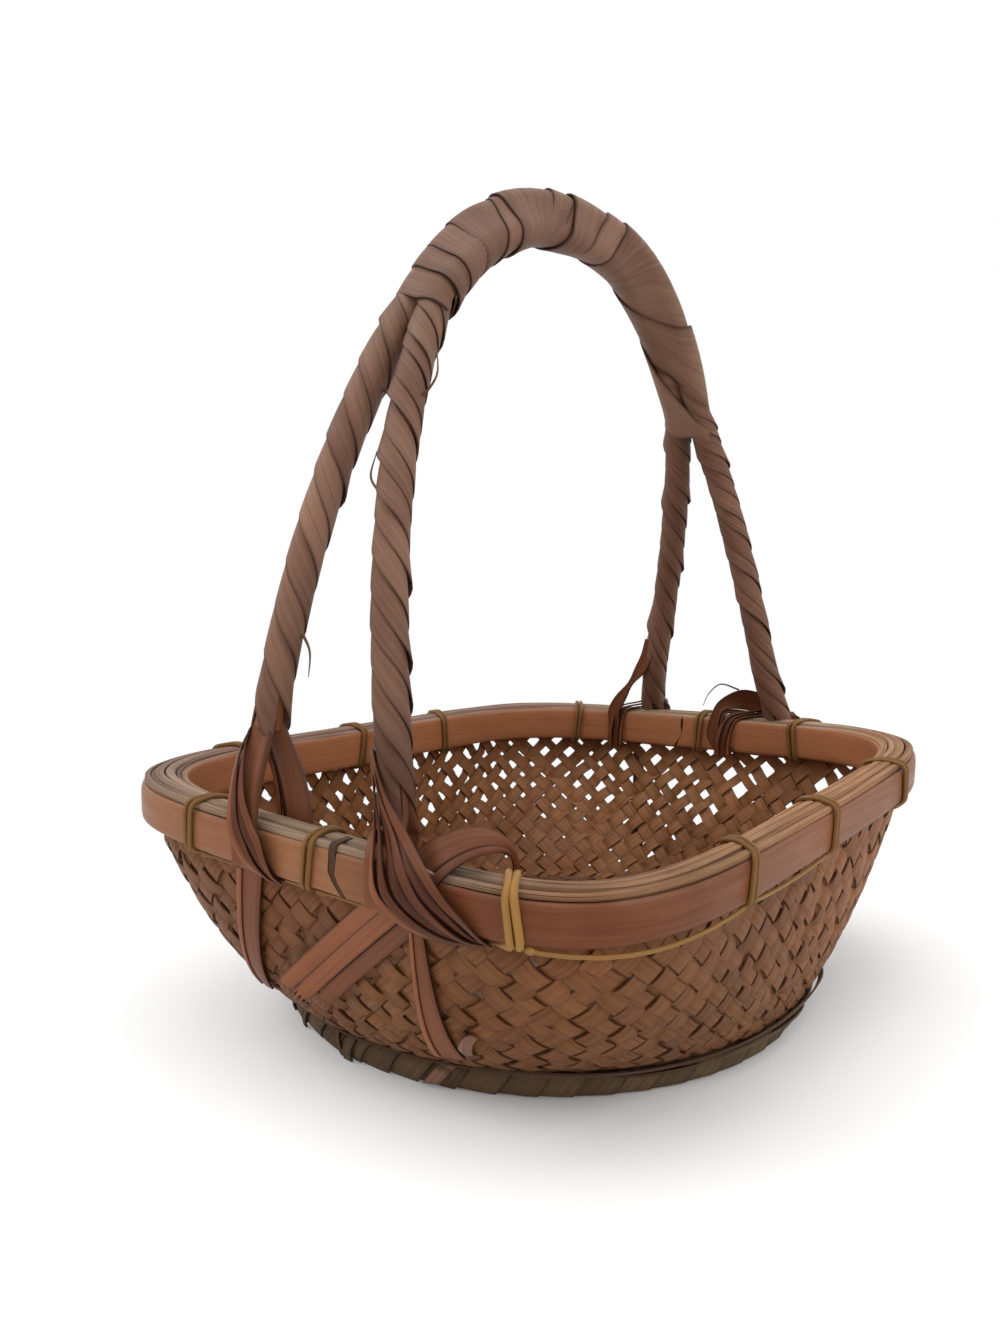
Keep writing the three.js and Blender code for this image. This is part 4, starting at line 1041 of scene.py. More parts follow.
class BASKET_OT_foot(BasketOperator, bpy.types.Operator):
    """Make the foot ring, the strips wound round it and the bands that bind the bowl to it"""

    bl_idname = "basket.foot"
    bl_label = "Foot Ring"

    def make(self, shape, sizes, colours):
        material = bamboo(
            "Foot strip", colours.foot_light, colours.foot_dark, edge_shade=0.75, dust=0.10,
            roughness=(0.55, 0.8), relief=0.5,
        )
        core = lay_strip(
            "foot_core", 180, 14,
            lambda along, across: shape.foot_point(along * TURN, across * TURN, shape.foot_core), (480, 24),
        )
        close_tube(core)
        finish_piece(core, material, "foot", "foot_ring")
        turns = 23.5
        strips = []
        for n in range(2):
            phase = n * math.pi

            def place(along, across):
                wobble = 0.006 * np.sin(along * 57 + n) + 0.004 * np.sin(along * 131)
                breadth = 0.076 + 0.006 * np.sin(along * 43 + n)
                angle = math.pi / 2 + along * 0.985 * TURN + (across - 0.5) * 2 * breadth + wobble
                roll = along * turns * TURN + phase + math.pi / 8
                worn = smooth(1 - np.abs(angle - 4.25) / 0.75)
                lump = 0.35 + 0.35 * np.sin(along * 91 + 3 * n)
                lump = worn * (lump + 0.3 * np.sin(along * 223 + n) * across)
                return shape.foot_point(angle, roll, shape.foot_strip_in + 0.15 + 0.75 * across + lump)

            strips.append(lay_strip("foot_winding", 420, 3, place, (900, 12), 0.25 + 0.5 * n))
        strips += self.hanging_ends(shape)
        piece = join_strips("foot_winding", strips)
        thicken(piece, 0.6)
        finish_piece(piece, material, "foot", "foot_wrap")
        self.bind_base(shape, colours)

    def hanging_ends(self, shape):
        """Cut and torn ends of the winding that hang at the front of the foot."""
        ends = []
        cuts = ((263.5, 0.02, 7.4, 3.4), (258, -0.04, 6.4, 2.6), (246, 0.05, 6.6, 2.2))
        for degrees, turn, radius, width in cuts:
            angle = math.radians(degrees)
            steps = ((0.0, 1.1, 5.3), (0.2, 0.5, 5.9), (0.55, -0.1, radius - 0.7), (1.0, -0.75, radius))
            line = [
                shape.foot_point(np.array(angle - turn * far), np.array(roll), reach)
                for far, roll, reach in steps
            ]
            around = [[-math.sin(angle), math.cos(angle), 0.0]] * len(line)
            ends.append(lay_strip("hanging_end", 16, 2, ribbon_rule(line, around, width), (14, 3), 0.6))
        return ends

    def bind_base(self, shape, colours):
        """Thin bands that run round the bottom edge of the wall."""
        shape.measure_wall()
        bands = []
        for n, (run, width, out) in enumerate(((10.2, 2.3, 1.35), (13.0, 2.0, 1.2), (8.0, 2.2, 1.9))):

            def place(along, across):
                share = along + 0.2 * n
                slack = 0.5 + 0.5 * np.cos(TURN * (share - 0.97))
                loose = smooth((slack - 0.6) * 3)
                level = run + (across - 0.5) * width
                level = level + 0.5 * np.sin(along * 23 + n) + 0.35 * np.sin(along * 61)
                level = level + loose * (1.4 * n + 1.5 * np.sin(along * 29 + 2 * n))
                stand = out + 0.15 * np.sin(along * 37 + n) + loose * (0.5 + 0.5 * n)
                return shape.wall_at(share, level, stand)

            bands.append(lay_strip("foot_bands", 220, 2, place, (500, width), 0.2 + 0.25 * n))
        piece = join_strips("foot_bands", bands)
        thicken(piece, 0.55)
        material = bamboo("Foot band", colours.foot_light, colours.weave_dark, edge_shade=0.7, dust=0.12)
        finish_piece(piece, material, "foot")


class BASKET_OT_hoops(BasketOperator, bpy.types.Operator):
    """Bend the outer and inner hoops of the rim, each with a scarf joint"""

    bl_idname = "basket.hoops"
    bl_label = "Rim Hoops"

    scarf_x = 13.5

    def scarf_slant(self, down):
        """How far a scarf joint leans along the rim, from the hoop's top edge (0) to its foot (1)."""
        return 5.5 * (down - 0.2) ** 2 - 2 + 0.5 * np.sin(9 * down)

    def scarf_gap(self, down, side):
        """Width of a scarf joint; the outer hoop's gapes at the top."""
        return 1.9 + 0.8 * (1 - down) if side < 0 else 1.1

    def make(self, shape, sizes, colours):
        outer_material = bamboo(
            "Outer hoop", colours.hoop_light, colours.hoop_dark, edge_shade=0.0, dust=0.16,
            roughness=(0.3, 0.5), relief=0.2, shares=(0.14, 0.55, 0.16), cracks=0.12,
        )
        # The inner hoop's paler colours are in part painted light, for light that falls inside the bowl.
        inner_material = bamboo(
            "Inner hoop", colours.inner_light, colours.inner_dark, edge_shade=0.0, dust=0.16,
            roughness=(0.3, 0.5), relief=0.2, shares=(0.15, 0.34, 0.2), cracks=0.12,
        )
        outer = (shape.outer_hoop / 2, shape.outer_hoop, -1, outer_material)
        inner = (shape.rim_width - shape.inner_hoop / 2, shape.inner_hoop, 1, inner_material)
        for name, (centre, thickness, side, material) in (("outer_hoop", outer), ("inner_hoop", inner)):
            start = shape.rim_distance(-side * self.scarf_x, side * shape.b)

            def place(along, across):
                angle = across * TURN
                inset = centre + thickness / 2 * signed_power(np.cos(angle), 2 / 5) * -1
                rise = -shape.hoop / 2 + shape.hoop / 2 * signed_power(np.sin(angle), 2 / 4.5)
                down = -rise / shape.hoop
                lip = smooth((inset - shape.rim_width + 1.4) / 0.8) * smooth((rise + 3) / 2.5)
                rise = rise + 1.5 * lip
                rise = rise + 0.12 * np.sin(along * 31 + angle) + 0.1 * np.sin(along * 71)
                length = shape.rim_length - self.scarf_gap(down, side)
                return shape.rim_at(start + along * length + self.scarf_slant(down), inset, rise)

            # Tone round the outer hoop: paler just past the scarf, darkest by the front corner, paler along
            # the right side and paler still from the far side round to the left.
            def hoop_tone_round(along):
                faded = 0.41 * smooth((along - 0.14) / 0.07) + 0.22 * smooth((along - 0.55) / 0.2)
                return 0.04 + 0.3 * (1 - smooth(along / 0.07)) + faded

            tone = hoop_tone_round if side < 0 else 0.55
            hoop = lay_strip(name, 300, 56, place, (shape.rim_length, 30), tone)
            close_tube(hoop)
            clear_edges(hoop)
            finish_piece(hoop, material, "hoop", f"rim_{name}")
        # A dark strip in the scarf joint and over the splints, as painted shade.
        slip = self.painted_scarf_shade(shape)
        thicken(slip, 0.3, 0.08)
        material = bamboo("Scarf slip", colours.wrap_dark, colours.foot_dark, edge_shade=0.4, dust=0.0)
        finish_piece(slip, material, "hoop")

    def painted_scarf_shade(self, shape):
        """Dark strip in the outer hoop's scarf joint, bent over the splints on top: painted shade of the
        joint.
        """
        start = shape.rim_distance(self.scarf_x, -shape.b)
        steps = []
        for down in np.linspace(0.96, 0.04, 8):
            along = self.scarf_slant(down) - self.scarf_gap(down, -1) / 2
            steps.append((along, 0.35, -shape.hoop * down))
        along = steps[-1][0]
        steps.append((along + 0.5, 0.6, shape.crown(1.2) + 0.3))
        steps.append((along + 1.2, 2.8, shape.crown(2.8) + 0.35))
        steps.append((along + 2.0, 5.6, shape.crown(5.6) + 0.3))
        along, inset, rise = np.array(steps, float).T
        line = shape.rim_at(start + along, inset, rise)
        beside = shape.rim_at(start + along + 1, inset, rise)

        def width(share):
            return 1.8 + 0.6 * np.exp(-(((share - 0.68) / 0.2) ** 2))

        rule = ribbon_rule(line, unit(beside - line), width, lift=0.1)
        return lay_strip("scarf_slip", 40, 4, rule, (40, 2.4), 0.2)


class BASKET_OT_splints(BasketOperator, bpy.types.Operator):
    """Lay the thin splints along the top of the rim"""

    bl_idname = "basket.splints"
    bl_label = "Rim Splints"

    def make(self, shape, sizes, colours):
        material = splint_material(colours)
        room = shape.rim_width - 2 * shape.splint_margin + shape.clearance
        pitch = room / 4
        chance = np.random.default_rng(31)
        for n in range(4):
            first = shape.splint_margin + n * pitch
            cuts = [first, first + pitch - 0.1]
            if n in (0, 3):
                cuts.insert(1, first + pitch * chance.uniform(0.4, 0.6))
            sides = zip(cuts[:-1], cuts[1:])
            slips = [self.slip(shape, low + 0.03, high - 0.03, chance) for low, high in sides]
            piece = join_strips(f"splint_{n + 1}", slips)
            close_tube(piece)
            finish_piece(piece, material, "splint", f"rim_splint_{n + 1}")

    def slip(self, shape, low, high, chance):
        """One thin slip with a squarish section that wanders a little."""
        seed, depth = chance.uniform(0, TURN), chance.uniform(-0.22, 0.12)

        def place(along, across):
            angle = across * TURN
            reach = signed_power(np.cos(angle), 2 / 7)
            turn = along * TURN
            drift = 0.16 * np.sin(5 * turn + seed) + 0.1 * np.sin(11 * turn + 2 * seed)
            inset = (low + high) / 2 + (high - low) / 2 * reach + drift
            lift = depth + 0.14 * np.sin(7 * turn + 3 * seed) + 0.08 * np.sin(17 * turn + seed)
            within = np.clip(inset, shape.splint_margin, shape.rim_width - shape.splint_margin)
            height = shape.crown(within) + lift
            rise = 0.15 + (height - 0.15) * (0.5 + 0.5 * signed_power(np.sin(angle), 2 / 7))
            return shape.rim_at(along * shape.rim_length + 90 * seed, inset, rise)

        own = chance.uniform(0, 1)
        front = shape.rim_distance(shape.a, -shape.b)

        def tone(along):
            far_round = np.mod(along * shape.rim_length + 90 * seed, shape.rim_length)
            to_front = np.abs(far_round - front)
            to_right = np.minimum(far_round, shape.rim_length - far_round)
            return own - 0.55 * np.exp(-((to_front / 45) ** 2)) + 0.35 * np.exp(-((to_right / 55) ** 2))

        return lay_strip("slip", 240, 12, place, (shape.rim_length, 6), tone)


class BASKET_OT_lacing(BasketOperator, bpy.types.Operator):
    """Lace the rim with cane: two turns at each tie and a run between ties"""

    bl_idname = "basket.lacing"
    bl_label = "Rim Lacing"

    def make(self, shape, sizes, colours):
        outline = offset_outline(shape.bound_outline(), 0.72 * shape.cane)
        places = shape.tie_places()
        sags = {2: (1.0, 0.6), 3: (0.6, 1.0)}
        points = []
        tones = []
        thickness = []
        for k, place in enumerate(places):
            steps = np.arange(2 * len(outline) + 1)
            corner = outline[(steps + len(outline) - 1) % len(outline)]
            shift = (steps / len(outline) - 1) * 2.0 + 0.3 * np.sin(steps * 1.7 + k)
            lean = 1.6 * math.sin(2.3 * k) * np.clip(corner[:, 1] / shape.hoop + 0.5, -0.6, 0.6)
            points.append(shape.rim_along(place, shift + lean, corner[:, 0], corner[:, 1]))
            tones += [0.9 if k == 2 else 0.15 * math.sin(3.1 * k)] * len(steps)
            thickness += [1.05 if k == 2 else 0.7] * len(steps)
            if k < len(places) - 1:
                begin = shape.rim_distance(*place[0]) + 6
                end = shape.rim_distance(*places[k + 1][0]) - 6
                end += shape.rim_length if end < begin else 0
                share = np.linspace(0, 1, max(4, int((end - begin) / 6)))
                sag, inset = sags.get(k, (0.2, 2.8))
                rise = -shape.hoop - 0.1 - shape.cane - sag * np.sin(math.pi * share)
                points.append(shape.rim_at(begin + share * (end - begin), inset, rise))
                tones += [0.5 if k in sags else 0.0] * len(share)
                thickness += [0.6] * len(share)
        line = round_corners(np.vstack(points), 1.5)
        spread, radii = (
            np.concatenate([row[:1], np.repeat(row[1:-1], 4), row[-1:]]) for row in (tones, thickness)
        )
        shares = np.linspace(0, 1, len(line))

        def tone(along):
            return np.interp(along, shares, spread)

        lacing = lay_tube("cane_lacing", line, radii * shape.cane, 8, (2200, 7), tone)
        close_tube(lacing)
        material = bamboo(
            "Cane", colours.cane_light, colours.cane_dark, edge_shade=0.0, dust=0.0,
            roughness=(0.34, 0.55), relief=0.2, shares=(0.48, 0.7, 0.24),
        )
        finish_piece(lacing, material, "cane", "rim_lacing")


class BASKET_OT_rods(BasketOperator, bpy.types.Operator):
    """Bend the two handle rods and fork their ends over the rim"""

    bl_idname = "basket.rods"
    bl_label = "Handle Rods"

    def make(self, shape, sizes, colours):
        material = bamboo(
            "Rod", colours.lash_light, colours.wrap_dark, edge_shade=0.55, dust=0.1,
            roughness=(0.36, 0.58), relief=0.3, shares=(0.18, 0.5, 0.24), cracks=0.2,
        )
        for name, side in (("outer", 1), ("inner", -1)):
            line = shape.rod_line(side)
            points = sample_line(line, np.linspace(0, 1, 120))
            rod = lay_tube(f"rod_{name}", points, shape.rod, 14, (420, 23))
            close_tube(rod)
            tongues = []
            gap = 0.3 + shape.tongue_thickness / 2
            for end, where in ((0, "near"), (-1, "far")):
                foot = shape.feet[f"{where}_{name}"]
                faces = [(-gap, 0), (shape.rim_width + gap, foot["inner_shift"])]
                for inset, shift in faces[: 2 if where == "near" else 1]:
                    tone = 0.3 + 0.1 * len(tongues)
                    tongues.append(self.tongue(shape, side, line[end], foot, inset, shift, tone))
            fork = join_strips("tongues", tongues)
            thicken(fork, 2.0, 0.5)
            piece = join_strips(f"rod_{name}", [rod, fork])
            finish_piece(piece, material, "rod", f"handle_rod_{name}")

    def tongue(self, shape, side, root, foot, inset, shift, tone):
        """One tongue of a forked end, from inside the winding down one face of the rim."""
        place = shape.foot_place(foot)
        out = np.array([0.0, foot["side"], 0.0])
        top = shape.rim_along(place, shift, inset, shape.edge_rise)
        bottom = shape.rim_along(place, 1.2 * shift, inset, -shape.hoop + 0.6)
        lean = np.sign(np.dot(top - root, out))
        long_line = shape.long_rod_line(side)
        far = foot["side"] > 0
        heights = (shape.fork + 9, shape.fork + max(foot["wrap_end"], -16) - 1)
        start, neck = (
            sample_line(long_line, shape.leg_share(long_line, height, far)) + out * lean * 1.7
            for height in heights
        )
        knee = neck * 0.45 + top * 0.55 + out * lean * 1.2
        line = [start, neck, knee, top, bottom]
        across = [[1.0, 0, 0]] * 5

        def width(along):
            return 6.2 + 2.2 * smooth(along * 2.0)

        rule = ribbon_rule(line, across, width, lift=lean * foot["side"] * 0.6)
        return lay_strip("tongue", 44, 8, rule, (45, 8), tone)


class BASKET_OT_leg_wraps(BasketOperator, bpy.types.Operator):
    """Wind the strips round the four legs"""

    bl_idname = "basket.leg_wraps"
    bl_label = "Leg Wraps"

    def make(self, shape, sizes, colours):
        wide = sizes.leg_strip / MM
        lead = sizes.leg_lead / MM
        chance = np.random.default_rng(21)
        near_material = wrap_material(colours)
        far_material = bamboo(
            "Far handle strip", colours.far_wrap_light, colours.far_wrap_dark, edge_shade=0.7, dust=0.1
        )
        for name in LEGS:
            far = name.startswith("far")
            line = shape.long_rod_line(1 if name.endswith("outer") else -1)
            parting = shape.far_parting if far else shape.near_parting
            start = shape.leg_share(line, parting + (14 if far else 4), far)
            end = shape.leg_share(line, shape.fork + shape.feet[name]["wrap_end"], far)
            count = 3 if name == "near_outer" else 4
            ends = (line, start, end)
            breadth = wide * 4 / count
            strips = [self.strip(shape, name, ends, n / count, breadth, lead, chance) for n in range(count)]
            piece = join_strips(f"wrap_{name}", strips)
            thicken(piece, 0.4)
            material = far_material if far else near_material
            finish_piece(piece, material, "wrapping", f"leg_wrap_{name}", angle=50)

    def strip(self, shape, name, ends, place_round, wide, lead, chance):
        """One of the strips that climb a leg side by side, each with its lower edge over the next."""
        line, start, end = ends
        total = np.linalg.norm(np.diff(line, axis=0), axis=1).sum()
        way = np.sign(end - start)
        span = abs(end - start) * total
        turns = span / lead
        seed = chance.uniform(0, TURN)
        swell = 0.7 if name == "near_outer" else 0.0

        def place(along, across):
            wound = along * (1.2 - 0.2 * along)
            rate = 1.2 - 0.4 * along
            beat = 0.8 * np.sin(along * turns * 2.1 + seed) + 0.5 * np.sin(along * turns * 5.3 + 2 * seed)
            breadth = wide / rate * (1 + 0.1 * np.sin(along * turns * 3.7 + seed))
            share = start + way * (along * span + beat + (across - 0.5) * breadth) / total
            roll = -way * wound * turns * TURN + place_round * TURN + 0.2 * math.sin(seed)
            gape = 0.9 * np.clip(np.sin(along * turns * 4.3 + 3 * seed), 0, 1) ** 8 * across**2
            bulge = 0.10 * np.sin(along * turns * 7.9 + seed) + swell * (1 - smooth(2.2 * along))
            radius = shape.rod + 0.3 + 0.6 * across + 0.12 * np.sin(math.pi * across) + bulge + gape
            return shape.rod_point(line, np.clip(share, 0, 1), roll, radius)

        own = chance.uniform(0.1, 0.9) + (0.12 if name == "near_outer" else 0.0)
        pale = 0.5 if name == "near_outer" else 0.0
        dark = 0.9 if name == "near_inner" else 0.0

        def tone(along):
            return own + pale * np.exp(-(((along - 0.52) / 0.12) ** 2)) - dark * smooth((along - 0.6) / 0.3)

        return lay_strip("leg_strip", int(turns * 26), 6, place, (turns * 44, wide * 0.6), tone)


class BASKET_OT_grip(BasketOperator, bpy.types.Operator):
    """Wind the strip that holds both rods together at the grip"""

    bl_idname = "basket.grip"
    bl_label = "Grip Wrap"

    def make(self, shape, sizes, colours):
        wide = sizes.grip_strip / MM
        start = shape.arch_turn(shape.near_parting - 3)
        end = math.pi - shape.arch_turn(shape.far_parting - 9)
        turn = np.linspace(start, end, 400)
        steps = np.linalg.norm(np.diff(shape.arch_point(turn), axis=0), axis=1)
        run = np.concatenate([[0], np.cumsum(steps)])
        turns = run[-1] / (sizes.grip_lead / MM)
        strips = []
        for n in range(2):

            def place(along, across):
                wound = along * (1.7 - 0.6 * along)
                rate = 1.7 - 1.2 * along
                beat = 1.4 * np.sin(along * turns * 3.7 + n) + 1.0 * np.sin(along * turns * 8.1 + 2 * n)
                breadth = wide / rate * (1 + 0.14 * np.sin(along * turns * 5.9 + 2 + n))
                breadth = breadth * (1 - 0.8 * smooth((along - 0.86) / 0.14))
                cover = np.exp(-(((along - 0.34) / 0.1) ** 2)) + np.exp(-(((along - 0.66) / 0.08) ** 2))
                breadth = breadth * (1 + (1 - n) * 0.9 * cover)
                distance = np.clip(along * run[-1] + beat + (across - 0.5) * breadth, 0, run[-1])
                gape = np.clip(np.sin(along * turns * 5.1 + 2.2 * n), 0, 1) ** 6 * (1 - across) ** 2
                radius = shape.rod + 0.5 + 0.9 * (1 - across) + 0.25 * np.sin(math.pi * across) + 0.8 * gape
                radius = radius + 0.16 * np.sin(along * turns * 10.7 + n)
                radius = radius + 0.12 * np.sin(along * turns * 3.8) - 0.65 * n * cover
                return shape.grip_point(np.interp(distance, run, turn), n / 2 - wound * turns, radius)

            def tone(along):
                pale = 0.45 * np.exp(-(((along - 0.5) / 0.06) ** 2)) + 0.6 * smooth((along - 0.6) / 0.3)
                return 0.3 * n - 0.1 + 0.35 * smooth(along / 0.4) + pale

            size = (turns * 62, wide * 0.8)
            strips.append(lay_strip("grip_winding", int(turns * 48), 7, place, size, tone))
        piece = join_strips("grip_winding", strips)
        thicken(piece, 0.5)
        finish_piece(piece, wrap_material(colours), "wrapping", "grip_wrap", angle=50)


class BASKET_OT_lashings(BasketOperator, bpy.types.Operator):
    """Bind the forked legs to the rim with fans of thin strips"""

    bl_idname = "basket.lashings"
    bl_label = "Leg Lashings"

    wide_fan = (
        [(-4, 10, -13), (-6, 13.4, -4), (-8.5, 13.2, 8), (-9.6, 12, 18), (-8.6, 8.6, 23.5), (-5.2, 4.6, 16),
         (-3, 1.4, 8.2), (-1.3, -3.1, 0.1), (0.4, -3.6, -6),
         (7, -2.9, -10.4), (16.5, -0.9, -12.9), (28.3, 1.5, -12.5)],
        [(2, 10, -13), (-1, 13.6, -4), (-5.5, 13.4, 9), (-8.4, 12, 19), (-7.2, 8.2, 25.5), (-0.6, 3.4, 16.2),
         (6.8, 0.4, 8.7), (13.6, -2.5, 2.4), (19.1, -2.5, -2.9),
         (25.4, -1.4, -7.6), (29.5, 0.5, -11), (32, 2.2, -12.4)],
    )
    long_fan = (
        [(-2, 10, -13), (-6, 13.6, -4), (-8.5, 14.5, 6), (-9.5, 13, 15), (-9, 8.5, 22), (-6.2, 2.4, 18.5),
         (-4.6, -1, 10), (-2.7, -3.2, 0.9), (0.4, -3.5, -4.7),
         (3.3, -2.8, -8.3), (6.2, -0.8, -11.2), (9, 1.2, -12.6)],
        [(3, 10, -13), (-2, 13.8, -4), (-5.5, 14.7, 7), (-8, 13, 17), (-7.8, 8.2, 24), (-3.6, 2, 17.5),
         (0, -1.6, 9), (4.3, -2.9, 2.1), (7.4, -3.1, -1.9),
         (8.9, -2.4, -6.6), (9.6, -0.6, -10.4), (10.6, 1.6, -12.5)],
    )
    slim_fan = (
        [(-2, 10, -13), (-4.5, 13.4, -6), (-6, 13.2, 2), (-6.8, 12, 9), (-6.5, 8.5, 13), (-5, 2.5, 7),
         (-3.6, -3, 0), (-2.6, -3.4, -4), (0, -3.4, -7.6),
         (5, -2.6, -10.6), (10, -0.8, -12.4), (13, 1.5, -12.6)],
        [(3, 10, -13), (1, 13.6, -6), (-2, 13.4, 3), (-4.5, 12, 11), (-3.5, 7.5, 15.5), (0, 2.5, 9),
         (4.2, -1.7, 1.5), (5.4, -2.8, -3.5), (7, -2.6, -8),
         (10, -1.6, -10.8), (12.5, 0.2, -12.3), (15, 2.2, -12.5)],
    )

    far_inside = (
        [(16, 12.6, -12), (15.5, 12.4, -5), (13, 10.5, 1.8), (5, 6, 3.4), (-3, 3.5, 4.6)],
        [(20.5, 12.6, -12), (20, 12.4, -5), (17, 10.5, 2.0), (8, 6.2, 4.0), (-0.5, 3.5, 5.6)],
    )

    def make(self, shape, sizes, colours):
        material = lash_material(colours)
        for name in LEGS:
            wide = name == "near_inner"
            edges = {"near_inner": self.wide_fan, "near_outer": self.long_fan}.get(name, self.slim_fan)
            if name.startswith("far"):
                hand = np.array([1 if name == "far_inner" else -1, 1, 1])
                outsides = [np.array(edge[5:]) * [1, 1, 0.55] for edge in edges]
                for outside, edge in zip(outsides, edges):
                    outside[1:, 2] = np.array(edge[6:])[:, 2]
                pairs = zip(self.far_inside, outsides)
                edges = [np.vstack([np.array(inner) * hand, outer]) for inner, outer in pairs]
            first, last = (np.array(edge, float) for edge in edges)
            count = 6 if wide else 4
            foot = shape.feet[name]
            strips = [self.strip(shape, name, first, last, n, count) for n in range(count)]
            # The dark strip under each fan is painted shadow for its gaps.
            strips.append(self.shadow(shape, foot, first, last))
            piece = join_strips(f"lashing_{name}", strips)
            thicken(piece, 0.5, 0.1)
            finish_piece(piece, material, "lashing", f"leg_lashing_{name}")

    def strip(self, shape, name, first, last, n, count):
        """One strip of a fan: up inside the rim, round the leg's flank and down over the outer hoop."""
        foot = shape.feet[name]
        share = n / (count - 1)
        steps = first * (1 - share) + last * share
        line = shape.rim_line(foot, steps)
        inward = np.array([0.0, -foot["side"], 0.0]) * (steps[:, 1] - shape.rim_width / 2)[:, None]
        upward = np.array([0, 0, 1.0]) * (steps[:, 2] + 5)[:, None]
        out = unit(inward + upward)
        near = foot["side"] < 0
        if near:
            rod = shape.long_rod_line(1 if name.endswith("outer") else -1)
            middle = sample_line(rod, shape.leg_share(rod, line[:, 2], False))
            on_leg = smooth((steps[:, 2] - 1) / 7)[:, None]
            out = unit(out * (1 - on_leg) + unit((line - middle) * [1, 1, 0]) * on_leg)
        crowd = np.clip(1.9 - 0.3 * np.arange(len(line)), 0, 1) * 0.16 * n
        line = line + out * (0.5 * (n % 2) + crowd)[:, None]
        across = unit(np.cross(out, unit(np.gradient(line, axis=0))))
        spread = 0.55 if count > 4 else 0.25
        widest = 0.68 if near else 0.62

        def width(along):
            taper = 0.8 * smooth((along - 0.85) * 6.6) + 0.6 * near * (1 - smooth((along - 0.42) / 0.2))
            return 1.9 + spread * np.exp(-(((along - widest) / 0.16) ** 2)) - taper

        rule = ribbon_rule(line, across, width, lift=0.2)
        tone = 0.75 if n == 0 else 0.25 * share + 0.2 * (n % 2) - 0.4
        return lay_strip("lashing", 84, 3, rule, (90, 2.3), tone)

    def shadow(self, shape, foot, first, last):
        """Dark strip under a fan: painted shadow that shows in its gaps."""
        edges = []
        for edge in (first, last):
            steps = edge[6:] + np.array([0, 0.7, 0])
            edges.append(shape.rim_line(foot, steps))
        return lay_strip("lashing", 48, 6, band_rule(*edges), (60, 9), -1.2)


class BASKET_OT_straps(BasketOperator, bpy.types.Operator):
    """Lay the straps that run down the wall below the lashings"""

    bl_idname = "basket.straps"
    bl_label = "Wall Straps"

    def make(self, shape, sizes, colours):
        shifts = {
            "near_outer": (-2.5, -16.5),
            "near_inner": (8.0, 3.6),
            "far_outer": (-9, -17),
            "far_inner": (7, -2),
        }
        for name in LEGS:
            foot = shape.feet[name]
            side = foot["side"]
            top, bottom = (foot["x"] - side * shift for shift in shifts[name])
            high = shape.skirt + (5.2 if name == "near_outer" else 0.5)
            low = shape.base + (10.5 if name == "near_outer" else 7.7)
            wide_top, wider = (1.55, -0.4) if name == "near_outer" else (0.65, 0.7)
            bands = []
            for offset, width, out, tone in ((0.55, 5.0, 0.75, 0.3), (-2.5, 1.3, 1.05, 0.8)):

                def place(along, across):
                    spread = wide_top + wider * along
                    middle = top + (bottom - top) * along + offset * spread + 0.2 * np.sin(along * 5)
                    stand = out + 0.5 * np.sin(math.pi * along) + 0.2 * (1 - (2 * across - 1) ** 2)
                    reach = (across - 0.5) * width * spread
                    return shape.wall_face(middle + reach, high + (low - high) * along, side, stand)

                bands.append(lay_strip("band", 36, 4, place, (45, width), tone))
            piece = join_strips(f"strap_{name}", bands)
            thicken(piece, 0.6, 0.12)
            finish_piece(piece, lash_material(colours), "lashing", f"wall_strap_{name}")
        ends = join_strips("strap_ends", self.loose_ends(shape))
        thicken(ends, 0.5, 0.1)
        worn = bamboo("Worn strap end", colours.wrap_light, colours.wrap_dark, edge_shade=0.6, dust=0.05)
        finish_piece(ends, worn, "lashing")

    def loose_ends(self, shape):
        """End of a near strap folded over the foot, and the small flap that stands up beside it."""
        folds = [[shape.wall_face(28.6, 18, -1, 0.2)], [shape.wall_face(33, 17, -1, 0.2)]]
        rolls = (((285, 0.79), (283.4, 0.2), (281, -0.55)), ((287.9, 0.53), (286.5, 0.12), (284.6, -0.4)))
        for edge, places in zip(folds, rolls):
            for degrees, roll in places:
                angle = np.array(math.radians(degrees))
                edge.append(shape.foot_point(angle, np.array(roll), shape.foot_outside + 1.0))
        flaps = [
            [(35.4, 18.5, 0.5), (36.6, 23.6, 2), (39.6, 27.8, 2.4), (41.6, 28.6, 1.2)],
            [(38.4, 19, 0.5), (39.4, 21.8, 1.8), (41.8, 26.2, 2.2), (43.2, 27.4, 1)],
        ]
        flaps = [[shape.wall_face(x, height, -1, out) for x, height, out in edge] for edge in flaps]
        ends = []
        for edges, tone in ((folds, 1.0), (flaps, 0.8)):
            rule = band_rule(*(np.array(edge) for edge in edges), crown=0.2)
            ends.append(lay_strip("strap_ends", 28, 4, above_floor(rule), (20, 4.4), tone))
        return ends


